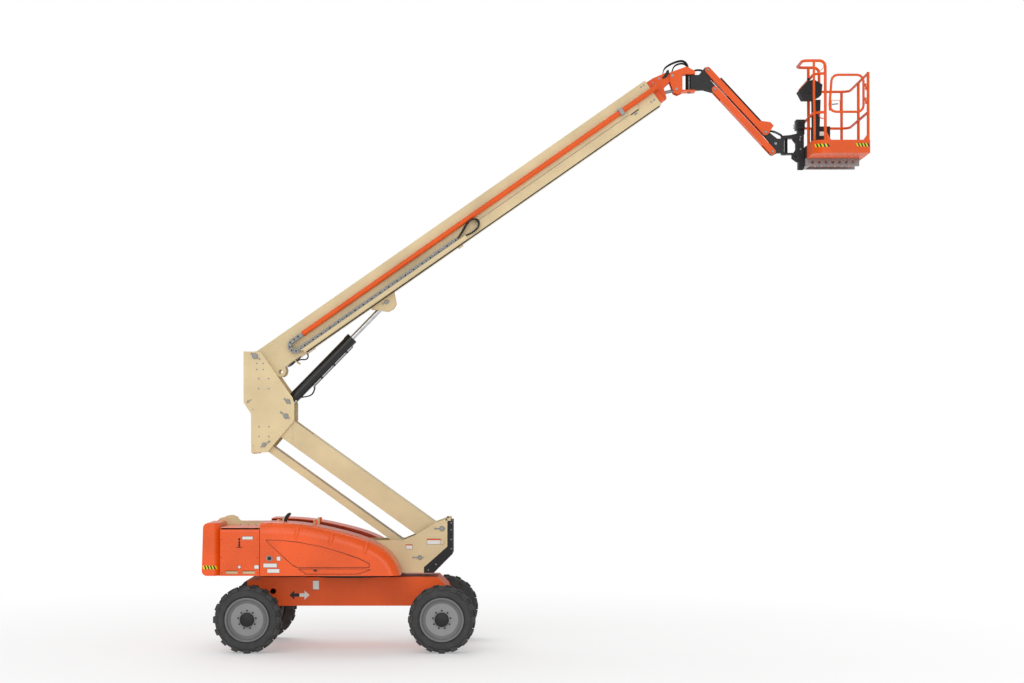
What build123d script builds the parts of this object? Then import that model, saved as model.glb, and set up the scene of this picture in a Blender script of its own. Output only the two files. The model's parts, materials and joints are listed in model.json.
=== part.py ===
"""Articulating boom lift: a self-propelled platform on a parallelogram tower, telescopic boom and jib.

Frame: millimetres, origin on the ground under the swing axis, +X towards the drive axle and the
platform, +Z up. The near side of the machine is -Y. The solids stand as the machine stands with its
tower half raised, its boom at 35 degrees and its jib hanging down.
"""
from build123d import *
import math
import os

os.makedirs("parts", exist_ok=True)

# Stance and wheels
WHEELBASE = 2740
WIDTH_OVER_TYRES = 2440
TYRE_RADIUS = 475
TYRE_WIDTH = 355
TYRE_SHOULDER = 45
TYRE_BEAD = 40
LUG_COUNT = 16
LUG_HEIGHT = 24
LUG_ROOT = 60
LUG_ARC_DEG = 11.25
LUG_LENGTH = 150
RIM_RADIUS = 296
RIM_WALL = 12
RIM_FLANGE = 14
RIM_DISC_SETBACK = 55
RIM_DISC_THICK = 14
HUB_RADIUS = 101
HUB_PROUD = 30
SPINDLE_RADIUS = 42
RUN_GAP = 0.3

# Axles and steering
AXLE_BEAM_HEIGHT = 160
AXLE_BEAM_DEPTH = 150
KINGPIN_INSET = 215
KINGPIN_RADIUS = 24
YOKE_RISE = 132
YOKE_THICK = 26
YOKE_RADIUS = 58
YOKE_WEB_FRONT = 22
STEER_ARM_REACH = 180
STEER_ARM_INSET = 40
TIE_ROD_RADIUS = 20
DRIVE_FLANGE_RADIUS = 130

# Chassis frame
FRAME_HALF_WIDTH = 480
FRAME_BOTTOM = 614
FRAME_TOP = 1024
FRAME_WALL = 12
FRAME_BODY_REAR = -1271
FRAME_BODY_FRONT = 1290
FRAME_REACH = 1450
FRAME_REAR_TOP = 981
FRAME_SLOPE_END = 1422
FRAME_SLOPE_LOW = 894
PORT_X = -1075
PORT_Z = 822
PORT_RADIUS = 42
TIE_DOWN_RADIUS = 28
TIE_DOWN_THICK = 25
TIE_DOWN_GAP_Y = 260
TIE_DOWN_REACH = 90
TIE_DOWN_WIDTH = 110
TIE_DOWN_RISE = 60

# Swing bearing
RING_OUTER = 636
RING_BORE = 470
RING_SPLIT = 28

# Turntable
DECK_BOTTOM = 1080
DECK_THICK = 16
DECK_HALF_WIDTH = 760
DECK_REAR = -1180
DECK_FRONT = 760
PLATE_FACE = 352
PLATE_THICK = 14
HALF_BODY_WIDTH = 1120
COVER_WALL = 8
COVER_BOTTOM = 1087
COVER_TOP = 1790
COVER_REAR = -1758
COVER_FRONT = -1204
SLOT_HEIGHT = 45
SLOT_BOTTOM = 1115
SLOT_WIDTH = 175
WEIGHT_REAR = -2016
WEIGHT_FRONT = -1766
WEIGHT_TOP = 1831
WEIGHT_ROUND = 70
WEIGHT_SLOT = 380
WEIGHT_BRIDGE_TOP = 1168
HOOD_REAR = -1196
HOOD_INNER = 386
HOOD_WALL = 10
HOOD_SHOULDER = 150
HOOD_RECESS = 6
HOOD_CROWN = (
    # X and Z from the rear edge forward and down the nose; both ends are trimmed
    (-1300, 1829), (-541, 1800), (-60, 1700), (482, 1494), (665, 1335), (777, 1087), (800, 980),
)
HINGE_FOOT = 1480
HINGE_AXIS = (369, 1838)
HINGE_RADIUS = 12
HINGE_HALF = 30
HOOD_HINGES = (
    # X, top of the hood there
    (-1000, 1816),
    (-480, 1788),
)
ENGINE_SIZE = (760, 470, 430)
ENGINE_CENTRE_X = -520
TANK_SIZE = (620, 420, 430)
TANK_CENTRE_X = -560
GUARD_THICK = 76
FRONT_EDGE = 1424

# Tower: two parallel members between turntable and upright
TOWER_ANGLE = 35.7
ARM_LENGTH = 2783
ARM_BASE = (1347, 1716)
LINK_OFFSET = (-319, -415)
ARM_HALF_WIDTH = 262
ARM_DEPTH = 300
ARM_WALL = 8
ARM_RISE = 8
ARM_EYE = 70
ARM_BOSS = 24
ARM_END = 110
ARM_PLATE_START = 230
ARM_CHEEK_THICK = 6
ARM_PIN_RADIUS = 34
ARM_NOTCH_END = 460
ARM_NOTCH_HALF = 100
LINK_HALF_WIDTH = 210
LINK_DEPTH = 105
LINK_WALL = 6
LINK_EYE = 58
LINK_PIN_RADIUS = 28
TOWER_CYL_BASE = (8, -196)
TOWER_CYL_REACH = 1250
TOWER_CYL_DROP = 150
TOWER_BOSS_RADIUS = 60
TOWER_BOSS_FACE = 58
TOWER_BARREL_RADIUS = 58
TOWER_ROD_RADIUS = 32
TOWER_BARREL_LENGTH = 1060
TOWER_PISTON_START = 600

# Upright
UPRIGHT_FACE = 306
UPRIGHT_THICK = 14
BOOM_PIVOT_OFFSET = (-450, 868)
LIFT_BASE_OFFSET = (28, 215)
UPRIGHT_WEB_THICK = 12

# Main boom, in its own frame: x along the boom from the pivot, z square to it
BOOM_ANGLE = 34.95
BOOM_TOP = 56
BOOM_BOTTOM = -364
BOOM_HALF_WIDTH = 188
BOOM_WALL = 8
BOOM_LENGTH = 6938
BOOM_PIN_RADIUS = 38
BOOM_HUB_RADIUS = 75
BOOM_EAR = (167, -389)
BOOM_EAR_RADIUS = 72
BOOM_EAR_HOLE = 32
LIFT_PIN = (2008, -432)
LIFT_PIN_RADIUS = 30
LUG_PLATE_THICK = 22
LUG_PLATE_FACE = 92
LIFT_BARREL_RADIUS = 82
LIFT_ROD_RADIUS = 37
LIFT_BARREL_LENGTH = 1300
LIFT_PISTON_START = 632
LIFT_EYE_RADIUS = 56
LIFT_EYE_HALF_WIDTH = 60
LIFT_FOOT_HALF_WIDTH = 120

# Fly section and what rides with it
FLY_DEPTH = 352
FLY_HALF_WIDTH = 156
FLY_WALL = 7
FLY_REAR = 560
FLY_OVERHANG = 60
PAD_LENGTH = 90
PUSH_TUBE_RADIUS = 38
CLAMP_WALL = 14
CLAMP_LENGTH = 60
CLAMP_PLACES = (6390,)
TRAY_DEPTH = 118
TRAY_END = 3400
TRAY_LIP = 8
CHAIN_SPACING = 100
CHAIN_LINK_DEPTH = 58
CHAIN_BEND_X = 560
CHAIN_LINK_PITCH = 74
CHAIN_LINK_GAP = 5
CHAIN_GROOVE = 12
CHAIN_FREE_RUN = 180

# Nose, levelling bracket and jib
NOSE_PIVOT = (7319, -108)
NOSE_PIN_RADIUS = 20
NOSE_HALF_WIDTH = 78
BRACKET_FACE = 112
BRACKET_THICK = 16
BRACKET_WEB = 130
LEVEL_PIN_OFFSET = (63, -196)
LEVEL_ROD_RADIUS = 24
LEVEL_ROD_SLOPE = 13
SWING_OFFSET = 252
SWING_PIN_RADIUS = 22
SWING_BARREL_RADIUS = 52
JIB_ANGLE = -47.2
JIB_LENGTH = 1242
JIB_BASE_OFFSET = (522, 88)
JIB_PIN_OFFSET = (102, -285)
JIB_ARM_DEPTH = 88
JIB_ARM_FACE = 86
JIB_CHEEK = 14
JIB_CORE_FACE = 66
JIB_PIN_RADIUS = 19
JIB_WAIST = (40, -150)
ROTATOR_OFFSET = 279
ROTATOR_BARREL_RADIUS = 50

# Platform, placed from the rotator axis
PLATFORM_HALF_LENGTH = 915
PLATFORM_INNER = 297
PLATFORM_OUTER = 1112
PLATFORM_CORNER = 180
ROTATOR_LOW = 300
ROTATOR_HIGH = 90
FORK_FACE = 60
FORK_PLATE = 15
MOUNT_HALF_WIDTH = 260
FLOOR_DROP = 404
FLOOR_THICK = 5
KICK_HEIGHT = 188
KICK_THICK = 4
RAIL_RADIUS = 19
INNER_BEND = 150
OUTER_BEND = 130
TOP_RAIL = 1137
MID_RAIL = 584
HOOP_TOP = 1319
BEAM_HALF_SPACING = 213
BEAM_DEPTH = 109
BEAM_WIDTH = 60
GATE_BOTTOM = 589
GATE_LEFT = 532
GATE_RIGHT = 1022
GATE_HINGE = 1054
GATE_BARREL_RADIUS = 10
GATE_BARREL_HEIGHT = 46
GATE_HINGE_HEIGHTS = (747, 947)
POST_RADIUS = 20.5


def turned(point, angle_deg):
    """Return a point of the X-Z plane turned about the origin, anticlockwise as seen from -Y."""
    a = math.radians(angle_deg)
    return (point[0] * math.cos(a) - point[1] * math.sin(a),
            point[0] * math.sin(a) + point[1] * math.cos(a))


def added(point, step):
    return (point[0] + step[0], point[1] + step[1])


def frame_at(point, angle_deg):
    """A frame at a point of the mid plane, its x axis tilted up by the angle."""
    return Location((point[0], 0, point[1]), (0, -angle_deg, 0))


# Joint centres that follow from the dimensions above, as (X, Z)
ARM_TOP = added(ARM_BASE, turned((ARM_LENGTH, 0), 180 - TOWER_ANGLE))
LINK_BASE = added(ARM_BASE, LINK_OFFSET)
LINK_TOP = added(ARM_TOP, LINK_OFFSET)
TOWER_CYL_FOOT = added(ARM_BASE, TOWER_CYL_BASE)
TOWER_CYL_HEAD = added(ARM_BASE, turned((TOWER_CYL_REACH, TOWER_CYL_DROP), 180 - TOWER_ANGLE))
BOOM_PIVOT = added(ARM_TOP, BOOM_PIVOT_OFFSET)
LIFT_FOOT = added(ARM_TOP, LIFT_BASE_OFFSET)
LIFT_HEAD = added(BOOM_PIVOT, turned(LIFT_PIN, BOOM_ANGLE))
NOSE_POINT = added(BOOM_PIVOT, turned(NOSE_PIVOT, BOOM_ANGLE))
LEVEL_POINT = added(NOSE_POINT, LEVEL_PIN_OFFSET)
SWING_X = NOSE_POINT[0] + SWING_OFFSET
JIB_TOP_A = added(NOSE_POINT, JIB_BASE_OFFSET)
JIB_LOW_A = added(JIB_TOP_A, JIB_PIN_OFFSET)
JIB_TOP_B = added(JIB_TOP_A, turned((JIB_LENGTH, 0), JIB_ANGLE))
JIB_LOW_B = added(JIB_TOP_B, JIB_PIN_OFFSET)
ROTATOR_X = JIB_TOP_B[0] + ROTATOR_OFFSET
FLOOR_Z = JIB_TOP_B[1] - FLOOR_DROP

BOOM_FRAME = frame_at(BOOM_PIVOT, BOOM_ANGLE)
ARM_FRAME = frame_at(ARM_TOP, -TOWER_ANGLE)
LINK_FRAME = frame_at(LINK_TOP, -TOWER_ANGLE)
JIB_TOP_FRAME = frame_at(JIB_TOP_A, JIB_ANGLE)
JIB_LOW_FRAME = frame_at(JIB_LOW_A, JIB_ANGLE)


def side_profile(outline, y_low, y_high):
    """A flat outline in X and Z, thick from y_low to y_high."""
    face = Plane.XZ.offset(-y_high) * Polygon(*outline)
    return extrude(face, y_high - y_low, dir=(0, -1, 0))


def cross_pin(point, radius, y_low, y_high):
    """A round bar along Y through a point of the X-Z plane."""
    disc = Plane.XZ.offset(-y_high) * Location((point[0], point[1])) * Circle(radius)
    return extrude(disc, y_high - y_low)


def upright_pin(x, y, radius, z_low, z_high):
    disc = Plane.XY.offset(z_low) * Location((x, y)) * Circle(radius)
    return extrude(disc, z_high - z_low)


def long_bar(x_low, x_high, y, z, radius):
    disc = Plane.YZ.offset(x_low) * Location((y, z)) * Circle(radius)
    return extrude(disc, x_high - x_low)


def block(x_low, x_high, y_low, y_high, z_low, z_high):
    middle = Location(((x_low + x_high) / 2, (y_low + y_high) / 2, (z_low + z_high) / 2))
    return middle * Box(x_high - x_low, y_high - y_low, z_high - z_low)


def box_tube(x_low, x_high, half_width, z_low, z_high, wall):
    """A rectangular tube along X, open at both ends."""
    outside = block(x_low, x_high, -half_width, half_width, z_low, z_high)
    inner = half_width - wall
    return outside - block(x_low - 1, x_high + 1, -inner, inner, z_low + wall, z_high - wall)


def both_sides(shape):
    """The shape with its mirror image across the mid plane."""
    return shape + mirror(shape, Plane.XZ)


def capsule(start, end, radius_start, radius_end, y_low, y_high):
    """A plate with two round ends joined by their outer tangents."""
    dx = end[0] - start[0]
    dz = end[1] - start[1]
    reach = math.hypot(dx, dz)
    heading = math.atan2(dz, dx)
    lean = math.acos((radius_start - radius_end) / reach)
    corners = []
    for centre, radius, sign in ((start, radius_start, 1), (end, radius_end, 1),
                                 (end, radius_end, -1), (start, radius_start, -1)):
        a = heading + sign * lean
        corners.append((centre[0] + radius * math.cos(a), centre[1] + radius * math.sin(a)))
    body = side_profile(corners, y_low, y_high)
    return (body + cross_pin(start, radius_start, y_low, y_high)
            + cross_pin(end, radius_end, y_low, y_high))


def bend_points(before, corner, after, bend, steps):
    """Points of a rounded corner, as short straight runs on its arc."""
    into = (Vector(*before) - Vector(*corner)).normalized()
    out = (Vector(*after) - Vector(*corner)).normalized()
    half = math.acos(max(-1, min(1, into.dot(out)))) / 2
    setback = bend / math.tan(half)
    centre = Vector(*corner) + (into + out).normalized() * (bend / math.sin(half))
    start = Vector(*corner) + into * setback - centre
    end = Vector(*corner) + out * setback - centre
    sweep_angle = math.pi - 2 * half
    points = []
    for index in range(steps + 1):
        t = sweep_angle * index / steps
        a = math.sin(sweep_angle - t) / math.sin(sweep_angle)
        b = math.sin(t) / math.sin(sweep_angle)
        points.append(centre + start * a + end * b)
    return points


def tube_path(points, radius, bend, steps=3):
    """A round tube along straight runs, each corner bent in a few mitred steps."""
    run = [Vector(*points[0])]
    for index in range(1, len(points) - 1):
        run += bend_points(points[index - 1], points[index], points[index + 1], bend, steps)
    run.append(Vector(*points[-1]))
    path = Polyline(*run)
    start = Plane(path @ 0, z_dir=path % 0)
    return sweep(start * Circle(radius), path=path, transition=Transition.RIGHT)


NODES = {}


def keep(name, shape):
    NODES[name] = shape


# Wheels

WHEEL_CENTRE_Y = WIDTH_OVER_TYRES / 2 - TYRE_WIDTH / 2
KINGPIN_Y = WHEEL_CENTRE_Y - KINGPIN_INSET
WHEEL_PLACES = (
    # name, X, side of the machine: -1 near, 1 far
    ("steer_near", -WHEELBASE / 2, -1),
    ("steer_far", -WHEELBASE / 2, 1),
    ("drive_near", WHEELBASE / 2, -1),
    ("drive_far", WHEELBASE / 2, 1),
)


def tyre():
    """Tyre on its own axis along Z, outer face up; each lug stands on one flat of the carcass."""
    half = TYRE_WIDTH / 2
    tread = TYRE_RADIUS - LUG_HEIGHT
    pitch = 360 / LUG_COUNT
    levels = (
        # Z, radius
        (-half, tread - TYRE_SHOULDER), (-half + TYRE_SHOULDER, tread),
        (half - TYRE_SHOULDER, tread), (half, tread - TYRE_SHOULDER),
    )
    rings = [Plane.XY.offset(z) * Rot(0, 0, pitch / 4) * RegularPolygon(radius, 2 * LUG_COUNT)
             for z, radius in levels]
    carcass = loft(rings, ruled=True) - upright_pin(0, 0, RIM_RADIUS, -half - 1, half + 1)
    dish = [(0, half - TYRE_BEAD), (RIM_RADIUS, half - TYRE_BEAD), (RIM_RADIUS + TYRE_BEAD + 5, half + 1),
            (0, half + 1)]
    cone = revolve(Plane.XZ * Polygon(*dish), Axis.Z)
    carcass -= cone + mirror(cone, Plane.XY)
    lug_width = 2 * tread * math.sin(math.radians(LUG_ARC_DEG / 2))
    top = TYRE_RADIUS - 0.1
    lug_side = [
        (top - LUG_ROOT, half - 2), (top - 22, half - 2), (top, half - 24), (top, half - LUG_LENGTH),
        (top - LUG_ROOT, half - LUG_LENGTH),
    ]
    lug_face = Plane.XZ.offset(-lug_width / 2) * Polygon(*lug_side)
    lug = extrude(lug_face, lug_width, dir=(0, -1, 0))
    lug = lug & upright_pin(0, 0, TYRE_RADIUS, -half, half)
    solid = carcass
    for index in range(LUG_COUNT):
        solid += Rot(0, 0, index * pitch) * lug
        solid += Rot(0, 0, (index + 0.5) * pitch) * mirror(lug, Plane.XY)
    return solid


def rim():
    """Wheel with its disc set back from the outer face and a closed hub cap, axis along Z."""
    half = TYRE_WIDTH / 2 - 8
    bore = SPINDLE_RADIUS + RUN_GAP
    inner = RIM_RADIUS - RIM_WALL
    disc_out = half - RIM_DISC_SETBACK
    disc_in = disc_out - RIM_DISC_THICK
    hub_out = disc_out + HUB_PROUD
    section = [
        (bore, disc_in - 60), (HUB_RADIUS, disc_in - 60), (HUB_RADIUS, disc_in),
        (inner, disc_in), (inner, -half), (RIM_RADIUS + RIM_FLANGE, -half),
        (RIM_RADIUS + RIM_FLANGE, -half + 10), (RIM_RADIUS, -half + 24),
        (RIM_RADIUS, half - 24), (RIM_RADIUS + RIM_FLANGE, half - 10),
        (RIM_RADIUS + RIM_FLANGE, half), (inner + 2, half), (inner - 18, disc_out + 20),
        (inner - 60, disc_out), (HUB_RADIUS, disc_out), (HUB_RADIUS - 8, hub_out),
        (0, hub_out), (0, disc_out + 4), (bore, disc_out + 4),
    ]
    return revolve(Plane.XZ * Polygon(*section), Axis.Z)


def place_wheels():
    tyre_shape = tyre()
    rim_shape = rim()
    for name, x, side in WHEEL_PLACES:
        spot = Location((x, side * WHEEL_CENTRE_Y, TYRE_RADIUS), (-90 * side, 0, 0))
        keep("tyre_" + name, spot * tyre_shape)
        keep("rim_" + name, spot * rim_shape)


# Axles, knuckles and tie rod

SPINDLE_END = WHEEL_CENTRE_Y + TYRE_WIDTH / 2 - 8 - RIM_DISC_SETBACK + 2


def axle_beam(x, reach):
    half = AXLE_BEAM_DEPTH / 2
    low = TYRE_RADIUS - AXLE_BEAM_HEIGHT / 2
    high = TYRE_RADIUS + AXLE_BEAM_HEIGHT / 2
    return block(x - half, x + half, -reach, reach, low, high)


def axle_saddle(x):
    """The bracket pair that hangs the axle under the frame."""
    high = TYRE_RADIUS + AXLE_BEAM_HEIGHT / 2
    side = [(x - 75, FRAME_BOTTOM), (x + 75, FRAME_BOTTOM), (x + 60, high), (x - 60, high)]
    return both_sides(side_profile(side, 90, 160))


def steer_axle():
    x = -WHEELBASE / 2
    solid = axle_beam(x, KINGPIN_Y - YOKE_RADIUS - 6) + axle_saddle(x)
    for side in (-1, 1):
        inner = KINGPIN_Y - YOKE_RADIUS - 30
        for level in (-1, 1):
            z_low = TYRE_RADIUS + level * YOKE_RISE - YOKE_THICK / 2
            z_high = z_low + YOKE_THICK
            y_a = min(side * inner, side * KINGPIN_Y)
            y_b = max(side * inner, side * KINGPIN_Y)
            solid += block(x - YOKE_RADIUS, x + YOKE_RADIUS, y_a, y_b, z_low, z_high)
            solid += upright_pin(x, side * KINGPIN_Y, YOKE_RADIUS, z_low, z_high)
        low = TYRE_RADIUS - YOKE_RISE - YOKE_THICK / 2
        high = TYRE_RADIUS + YOKE_RISE + YOKE_THICK / 2
        y_a = min(side * (inner - 26), side * inner)
        y_b = max(side * (inner - 26), side * inner)
        solid += block(x - YOKE_RADIUS, x + YOKE_WEB_FRONT, y_a, y_b, low, high)
        solid += upright_pin(x, side * KINGPIN_Y, KINGPIN_RADIUS, low, high)
    return solid


def knuckle(side):
    """Steering knuckle on its kingpin, with its spindle and its arm towards the tie rod."""
    x = -WHEELBASE / 2
    half = YOKE_RISE - YOKE_THICK / 2 - RUN_GAP
    solid = upright_pin(x, side * KINGPIN_Y, YOKE_RADIUS - 4, TYRE_RADIUS - half, TYRE_RADIUS + half)
    solid += cross_pin((x, TYRE_RADIUS), SPINDLE_RADIUS,
                       min(side * KINGPIN_Y, side * SPINDLE_END),
                       max(side * KINGPIN_Y, side * SPINDLE_END))
    flange_a = side * (KINGPIN_Y + 30)
    flange_b = side * (KINGPIN_Y + 80)
    solid += cross_pin((x, TYRE_RADIUS), 96, min(flange_a, flange_b), max(flange_a, flange_b))
    arm_low = TYRE_RADIUS - half + 6
    tip_y = side * (KINGPIN_Y - STEER_ARM_INSET)
    hub_y = side * KINGPIN_Y
    flat = Polygon((x, hub_y - 34), (x + STEER_ARM_REACH, tip_y - 24),
                   (x + STEER_ARM_REACH, tip_y + 24), (x, hub_y + 34))
    solid += extrude(Plane.XY.offset(arm_low) * flat, 24, dir=(0, 0, 1))
    solid += upright_pin(x + STEER_ARM_REACH, tip_y, 30, arm_low, arm_low + 24)
    return solid - upright_pin(x, side * KINGPIN_Y, KINGPIN_RADIUS + RUN_GAP, 0, 2 * TYRE_RADIUS)


def tie_rod():
    x = -WHEELBASE / 2 + STEER_ARM_REACH
    arm_low = TYRE_RADIUS - (YOKE_RISE - YOKE_THICK / 2 - RUN_GAP) + 6
    reach = KINGPIN_Y - STEER_ARM_INSET
    z = arm_low - RUN_GAP - TIE_ROD_RADIUS - 4
    solid = cross_pin((x, z), TIE_ROD_RADIUS, -reach, reach)
    for side in (-1, 1):
        solid += upright_pin(x, side * reach, 27, z - TIE_ROD_RADIUS - 4, z + TIE_ROD_RADIUS + 4)
    return solid


def drive_axle():
    x = WHEELBASE / 2
    solid = axle_beam(x, KINGPIN_Y - 40) + axle_saddle(x)
    for side in (-1, 1):
        near = side * (KINGPIN_Y - 60)
        flange = side * (KINGPIN_Y + 80)
        end = side * SPINDLE_END
        solid += cross_pin((x, TYRE_RADIUS), DRIVE_FLANGE_RADIUS, min(near, flange), max(near, flange))
        solid += cross_pin((x, TYRE_RADIUS), SPINDLE_RADIUS, min(near, end), max(near, end))
    return solid


# Chassis frame


def tie_down_lugs():
    """Flat lashing lugs at both ends of the frame, each with an upright round hole."""
    solid = Part()
    z_low = FRAME_BOTTOM + TIE_DOWN_RISE
    z_high = z_low + TIE_DOWN_THICK
    for end in (-1, 1):
        root = end * (FRAME_REACH - 5)
        tip = end * (FRAME_REACH + TIE_DOWN_REACH)
        for side in (-1, 1):
            y = side * (FRAME_HALF_WIDTH - TIE_DOWN_GAP_Y)
            plate = block(min(root, tip), max(root, tip), y - TIE_DOWN_WIDTH / 2,
                          y + TIE_DOWN_WIDTH / 2, z_low, z_high)
            hole = upright_pin(end * (FRAME_REACH + TIE_DOWN_REACH / 2), y, TIE_DOWN_RADIUS,
                               z_low - 1, z_high + 1)
            solid += plate - hole
    return solid


def chassis_frame():
    outline = [
        (-FRAME_REACH, FRAME_BOTTOM), (-FRAME_REACH, FRAME_REAR_TOP),
        (FRAME_BODY_REAR, FRAME_REAR_TOP), (FRAME_BODY_REAR, FRAME_TOP),
        (FRAME_BODY_FRONT, FRAME_TOP), (FRAME_SLOPE_END, FRAME_SLOPE_LOW),
        (FRAME_REACH, FRAME_SLOPE_LOW - 60), (FRAME_REACH, FRAME_BOTTOM),
    ]
    w = FRAME_WALL
    hollow = [
        (-FRAME_REACH + w, FRAME_BOTTOM + w), (-FRAME_REACH + w, FRAME_REAR_TOP - w),
        (FRAME_BODY_REAR + w, FRAME_REAR_TOP - w), (FRAME_BODY_REAR + w, FRAME_TOP - w),
        (FRAME_BODY_FRONT - w / 2, FRAME_TOP - w), (FRAME_SLOPE_END - w, FRAME_SLOPE_LOW - w / 2),
        (FRAME_REACH - w, FRAME_SLOPE_LOW - 60 - w / 2), (FRAME_REACH - w, FRAME_BOTTOM + w),
    ]
    inner = FRAME_HALF_WIDTH - w
    solid = side_profile(outline, -FRAME_HALF_WIDTH, FRAME_HALF_WIDTH)
    solid -= side_profile(hollow, -inner, inner)
    solid -= cross_pin((PORT_X, PORT_Z), PORT_RADIUS, -2 * FRAME_HALF_WIDTH, 2 * FRAME_HALF_WIDTH)
    return solid + tie_down_lugs()


def swing_bearing():
    ring = upright_pin(0, 0, RING_OUTER, FRAME_TOP, FRAME_TOP + RING_SPLIT)
    return ring - upright_pin(0, 0, RING_BORE, FRAME_TOP - 1, FRAME_TOP + RING_SPLIT + 1)


# Turntable


def swing_ring():
    low = FRAME_TOP + RING_SPLIT + RUN_GAP
    ring = upright_pin(0, 0, RING_OUTER - 60, low, DECK_BOTTOM)
    return ring - upright_pin(0, 0, RING_BORE, low - 1, DECK_BOTTOM + 1)


def tower_plate(side):
    """One of the two tall plates that carry the tower pins, with the hump at its rear top."""
    x_pin, z_pin = ARM_BASE
    outline = [
        (-1900, DECK_BOTTOM), (-1900, COVER_TOP), (-1869, COVER_TOP), (-1869, 1866), (-1797, 1884),
        (-1740, 1883), (-1700, 1862), (-1650, 1810), (-1596, COVER_TOP), (-1169, COVER_TOP),
        (-900, 1540), (786, 1551), (957, 1622),
        (x_pin - 97, z_pin + 82), (x_pin, z_pin + 117), (FRONT_EDGE, z_pin + 150),
        (FRONT_EDGE, 1458), (1086, 1159), (1086, DECK_BOTTOM),
    ]
    y_a = side * (PLATE_FACE - PLATE_THICK)
    y_b = side * PLATE_FACE
    plate = side_profile(outline, min(y_a, y_b), max(y_a, y_b))
    for point, radius in ((ARM_BASE, ARM_PIN_RADIUS), (LINK_BASE, LINK_PIN_RADIUS),
                          (TOWER_CYL_FOOT, LINK_PIN_RADIUS)):
        plate -= cross_pin(point, radius, -2 * PLATE_FACE, 2 * PLATE_FACE)
    return plate


def turntable_frame():
    inner = PLATE_FACE - PLATE_THICK
    solid = tower_plate(-1) + tower_plate(1)
    solid += block(-1900, 1086, -inner, inner, DECK_BOTTOM, DECK_BOTTOM + DECK_THICK)
    for side in (-1, 1):
        y_a = side * PLATE_FACE
        y_b = side * DECK_HALF_WIDTH
        solid += block(DECK_REAR, DECK_FRONT - 120, min(y_a, y_b), max(y_a, y_b),
                       DECK_BOTTOM, DECK_BOTTOM + DECK_THICK)
        solid += block(WEIGHT_REAR + 60, DECK_REAR, min(y_a, y_b), max(y_a, y_b),
                       DECK_BOTTOM - 6, COVER_BOTTOM)
        y_pin = side * HINGE_AXIS[0]
        for x, top in HOOD_HINGES:
            solid += block(x - HINGE_HALF, x, min(y_a, y_pin), max(y_a, y_pin), HINGE_FOOT, HINGE_AXIS[1])
            solid += long_bar(x - HINGE_HALF, x, y_pin, HINGE_AXIS[1], HINGE_RADIUS)
    return solid


def turntable_pins():
    reach = PLATE_FACE + 14
    stub = PLATE_FACE - 110
    solid = both_sides(cross_pin(ARM_BASE, ARM_PIN_RADIUS, stub - 20, reach))
    solid += cross_pin(LINK_BASE, LINK_PIN_RADIUS, -reach, reach)
    solid += cross_pin(TOWER_CYL_FOOT, LINK_PIN_RADIUS, -reach, reach)
    return solid


def edge_guard():
    """Black buffer down the front edge of the tower plates."""
    x_out = FRONT_EDGE + GUARD_THICK
    outline = [
        (FRONT_EDGE, 1829), (x_out, 1829), (x_out, 1351), (1229, 1077), (1086, 1077),
        (1086, 1159), (FRONT_EDGE, 1458),
    ]
    return side_profile(outline, -PLATE_FACE, PLATE_FACE)


def counterweight():
    """Cast weight in two towers joined by a low bridge; the upright stows in the slot."""
    outline = [
        (WEIGHT_REAR, COVER_BOTTOM), (WEIGHT_FRONT, COVER_BOTTOM),
        (WEIGHT_FRONT, WEIGHT_TOP), (WEIGHT_REAR + 20, WEIGHT_TOP),
    ]
    tower = side_profile(outline, WEIGHT_SLOT, HALF_BODY_WIDTH)
    rear_edges = tower.edges().filter_by(Axis.Y).sort_by(Axis.X)[:2]
    tower = fillet(rear_edges, WEIGHT_ROUND)
    bridge = block(WEIGHT_REAR + 40, -1904, -WEIGHT_SLOT, WEIGHT_SLOT, COVER_BOTTOM, WEIGHT_BRIDGE_TOP)
    tower = chamfer(tower.edges().filter_by(Axis.Z).group_by(Axis.Y)[-1].sort_by(Axis.X)[:1], WEIGHT_ROUND)
    return both_sides(tower) + bridge


def side_cover(side):
    """Fixed cover between the counterweight and the hood, with two forklift slots."""
    y_in = PLATE_FACE + 4
    w = COVER_WALL
    solid = block(COVER_REAR, COVER_FRONT, y_in, HALF_BODY_WIDTH - 12, COVER_BOTTOM, COVER_TOP - 20)
    solid = fillet(solid.edges().filter_by(Axis.X).sort_by(Axis.Z)[-2:].sort_by(Axis.Y)[-1:], 60)
    solid -= block(COVER_REAR + w, COVER_FRONT - w, y_in - 1, HALF_BODY_WIDTH - 12 - w,
                   COVER_BOTTOM - 1, COVER_TOP - 20 - w)
    for x in (COVER_REAR + 75, COVER_REAR + 315):
        solid -= block(x, x + SLOT_WIDTH, HALF_BODY_WIDTH - 60, HALF_BODY_WIDTH + 1,
                       SLOT_BOTTOM, SLOT_BOTTOM + SLOT_HEIGHT)
    return solid if side > 0 else mirror(solid, Plane.XZ)


def hood_crown(inset):
    """The crown's points, each moved square to the curve by the inset."""
    points = []
    last = len(HOOD_CROWN) - 1
    for index, (x, z) in enumerate(HOOD_CROWN):
        before = HOOD_CROWN[max(index - 1, 0)]
        after = HOOD_CROWN[min(index + 1, last)]
        dx = after[0] - before[0]
        dz = after[1] - before[1]
        reach = math.hypot(dx, dz)
        points.append((x + inset * dz / reach, z - inset * dx / reach))
    return points


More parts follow.
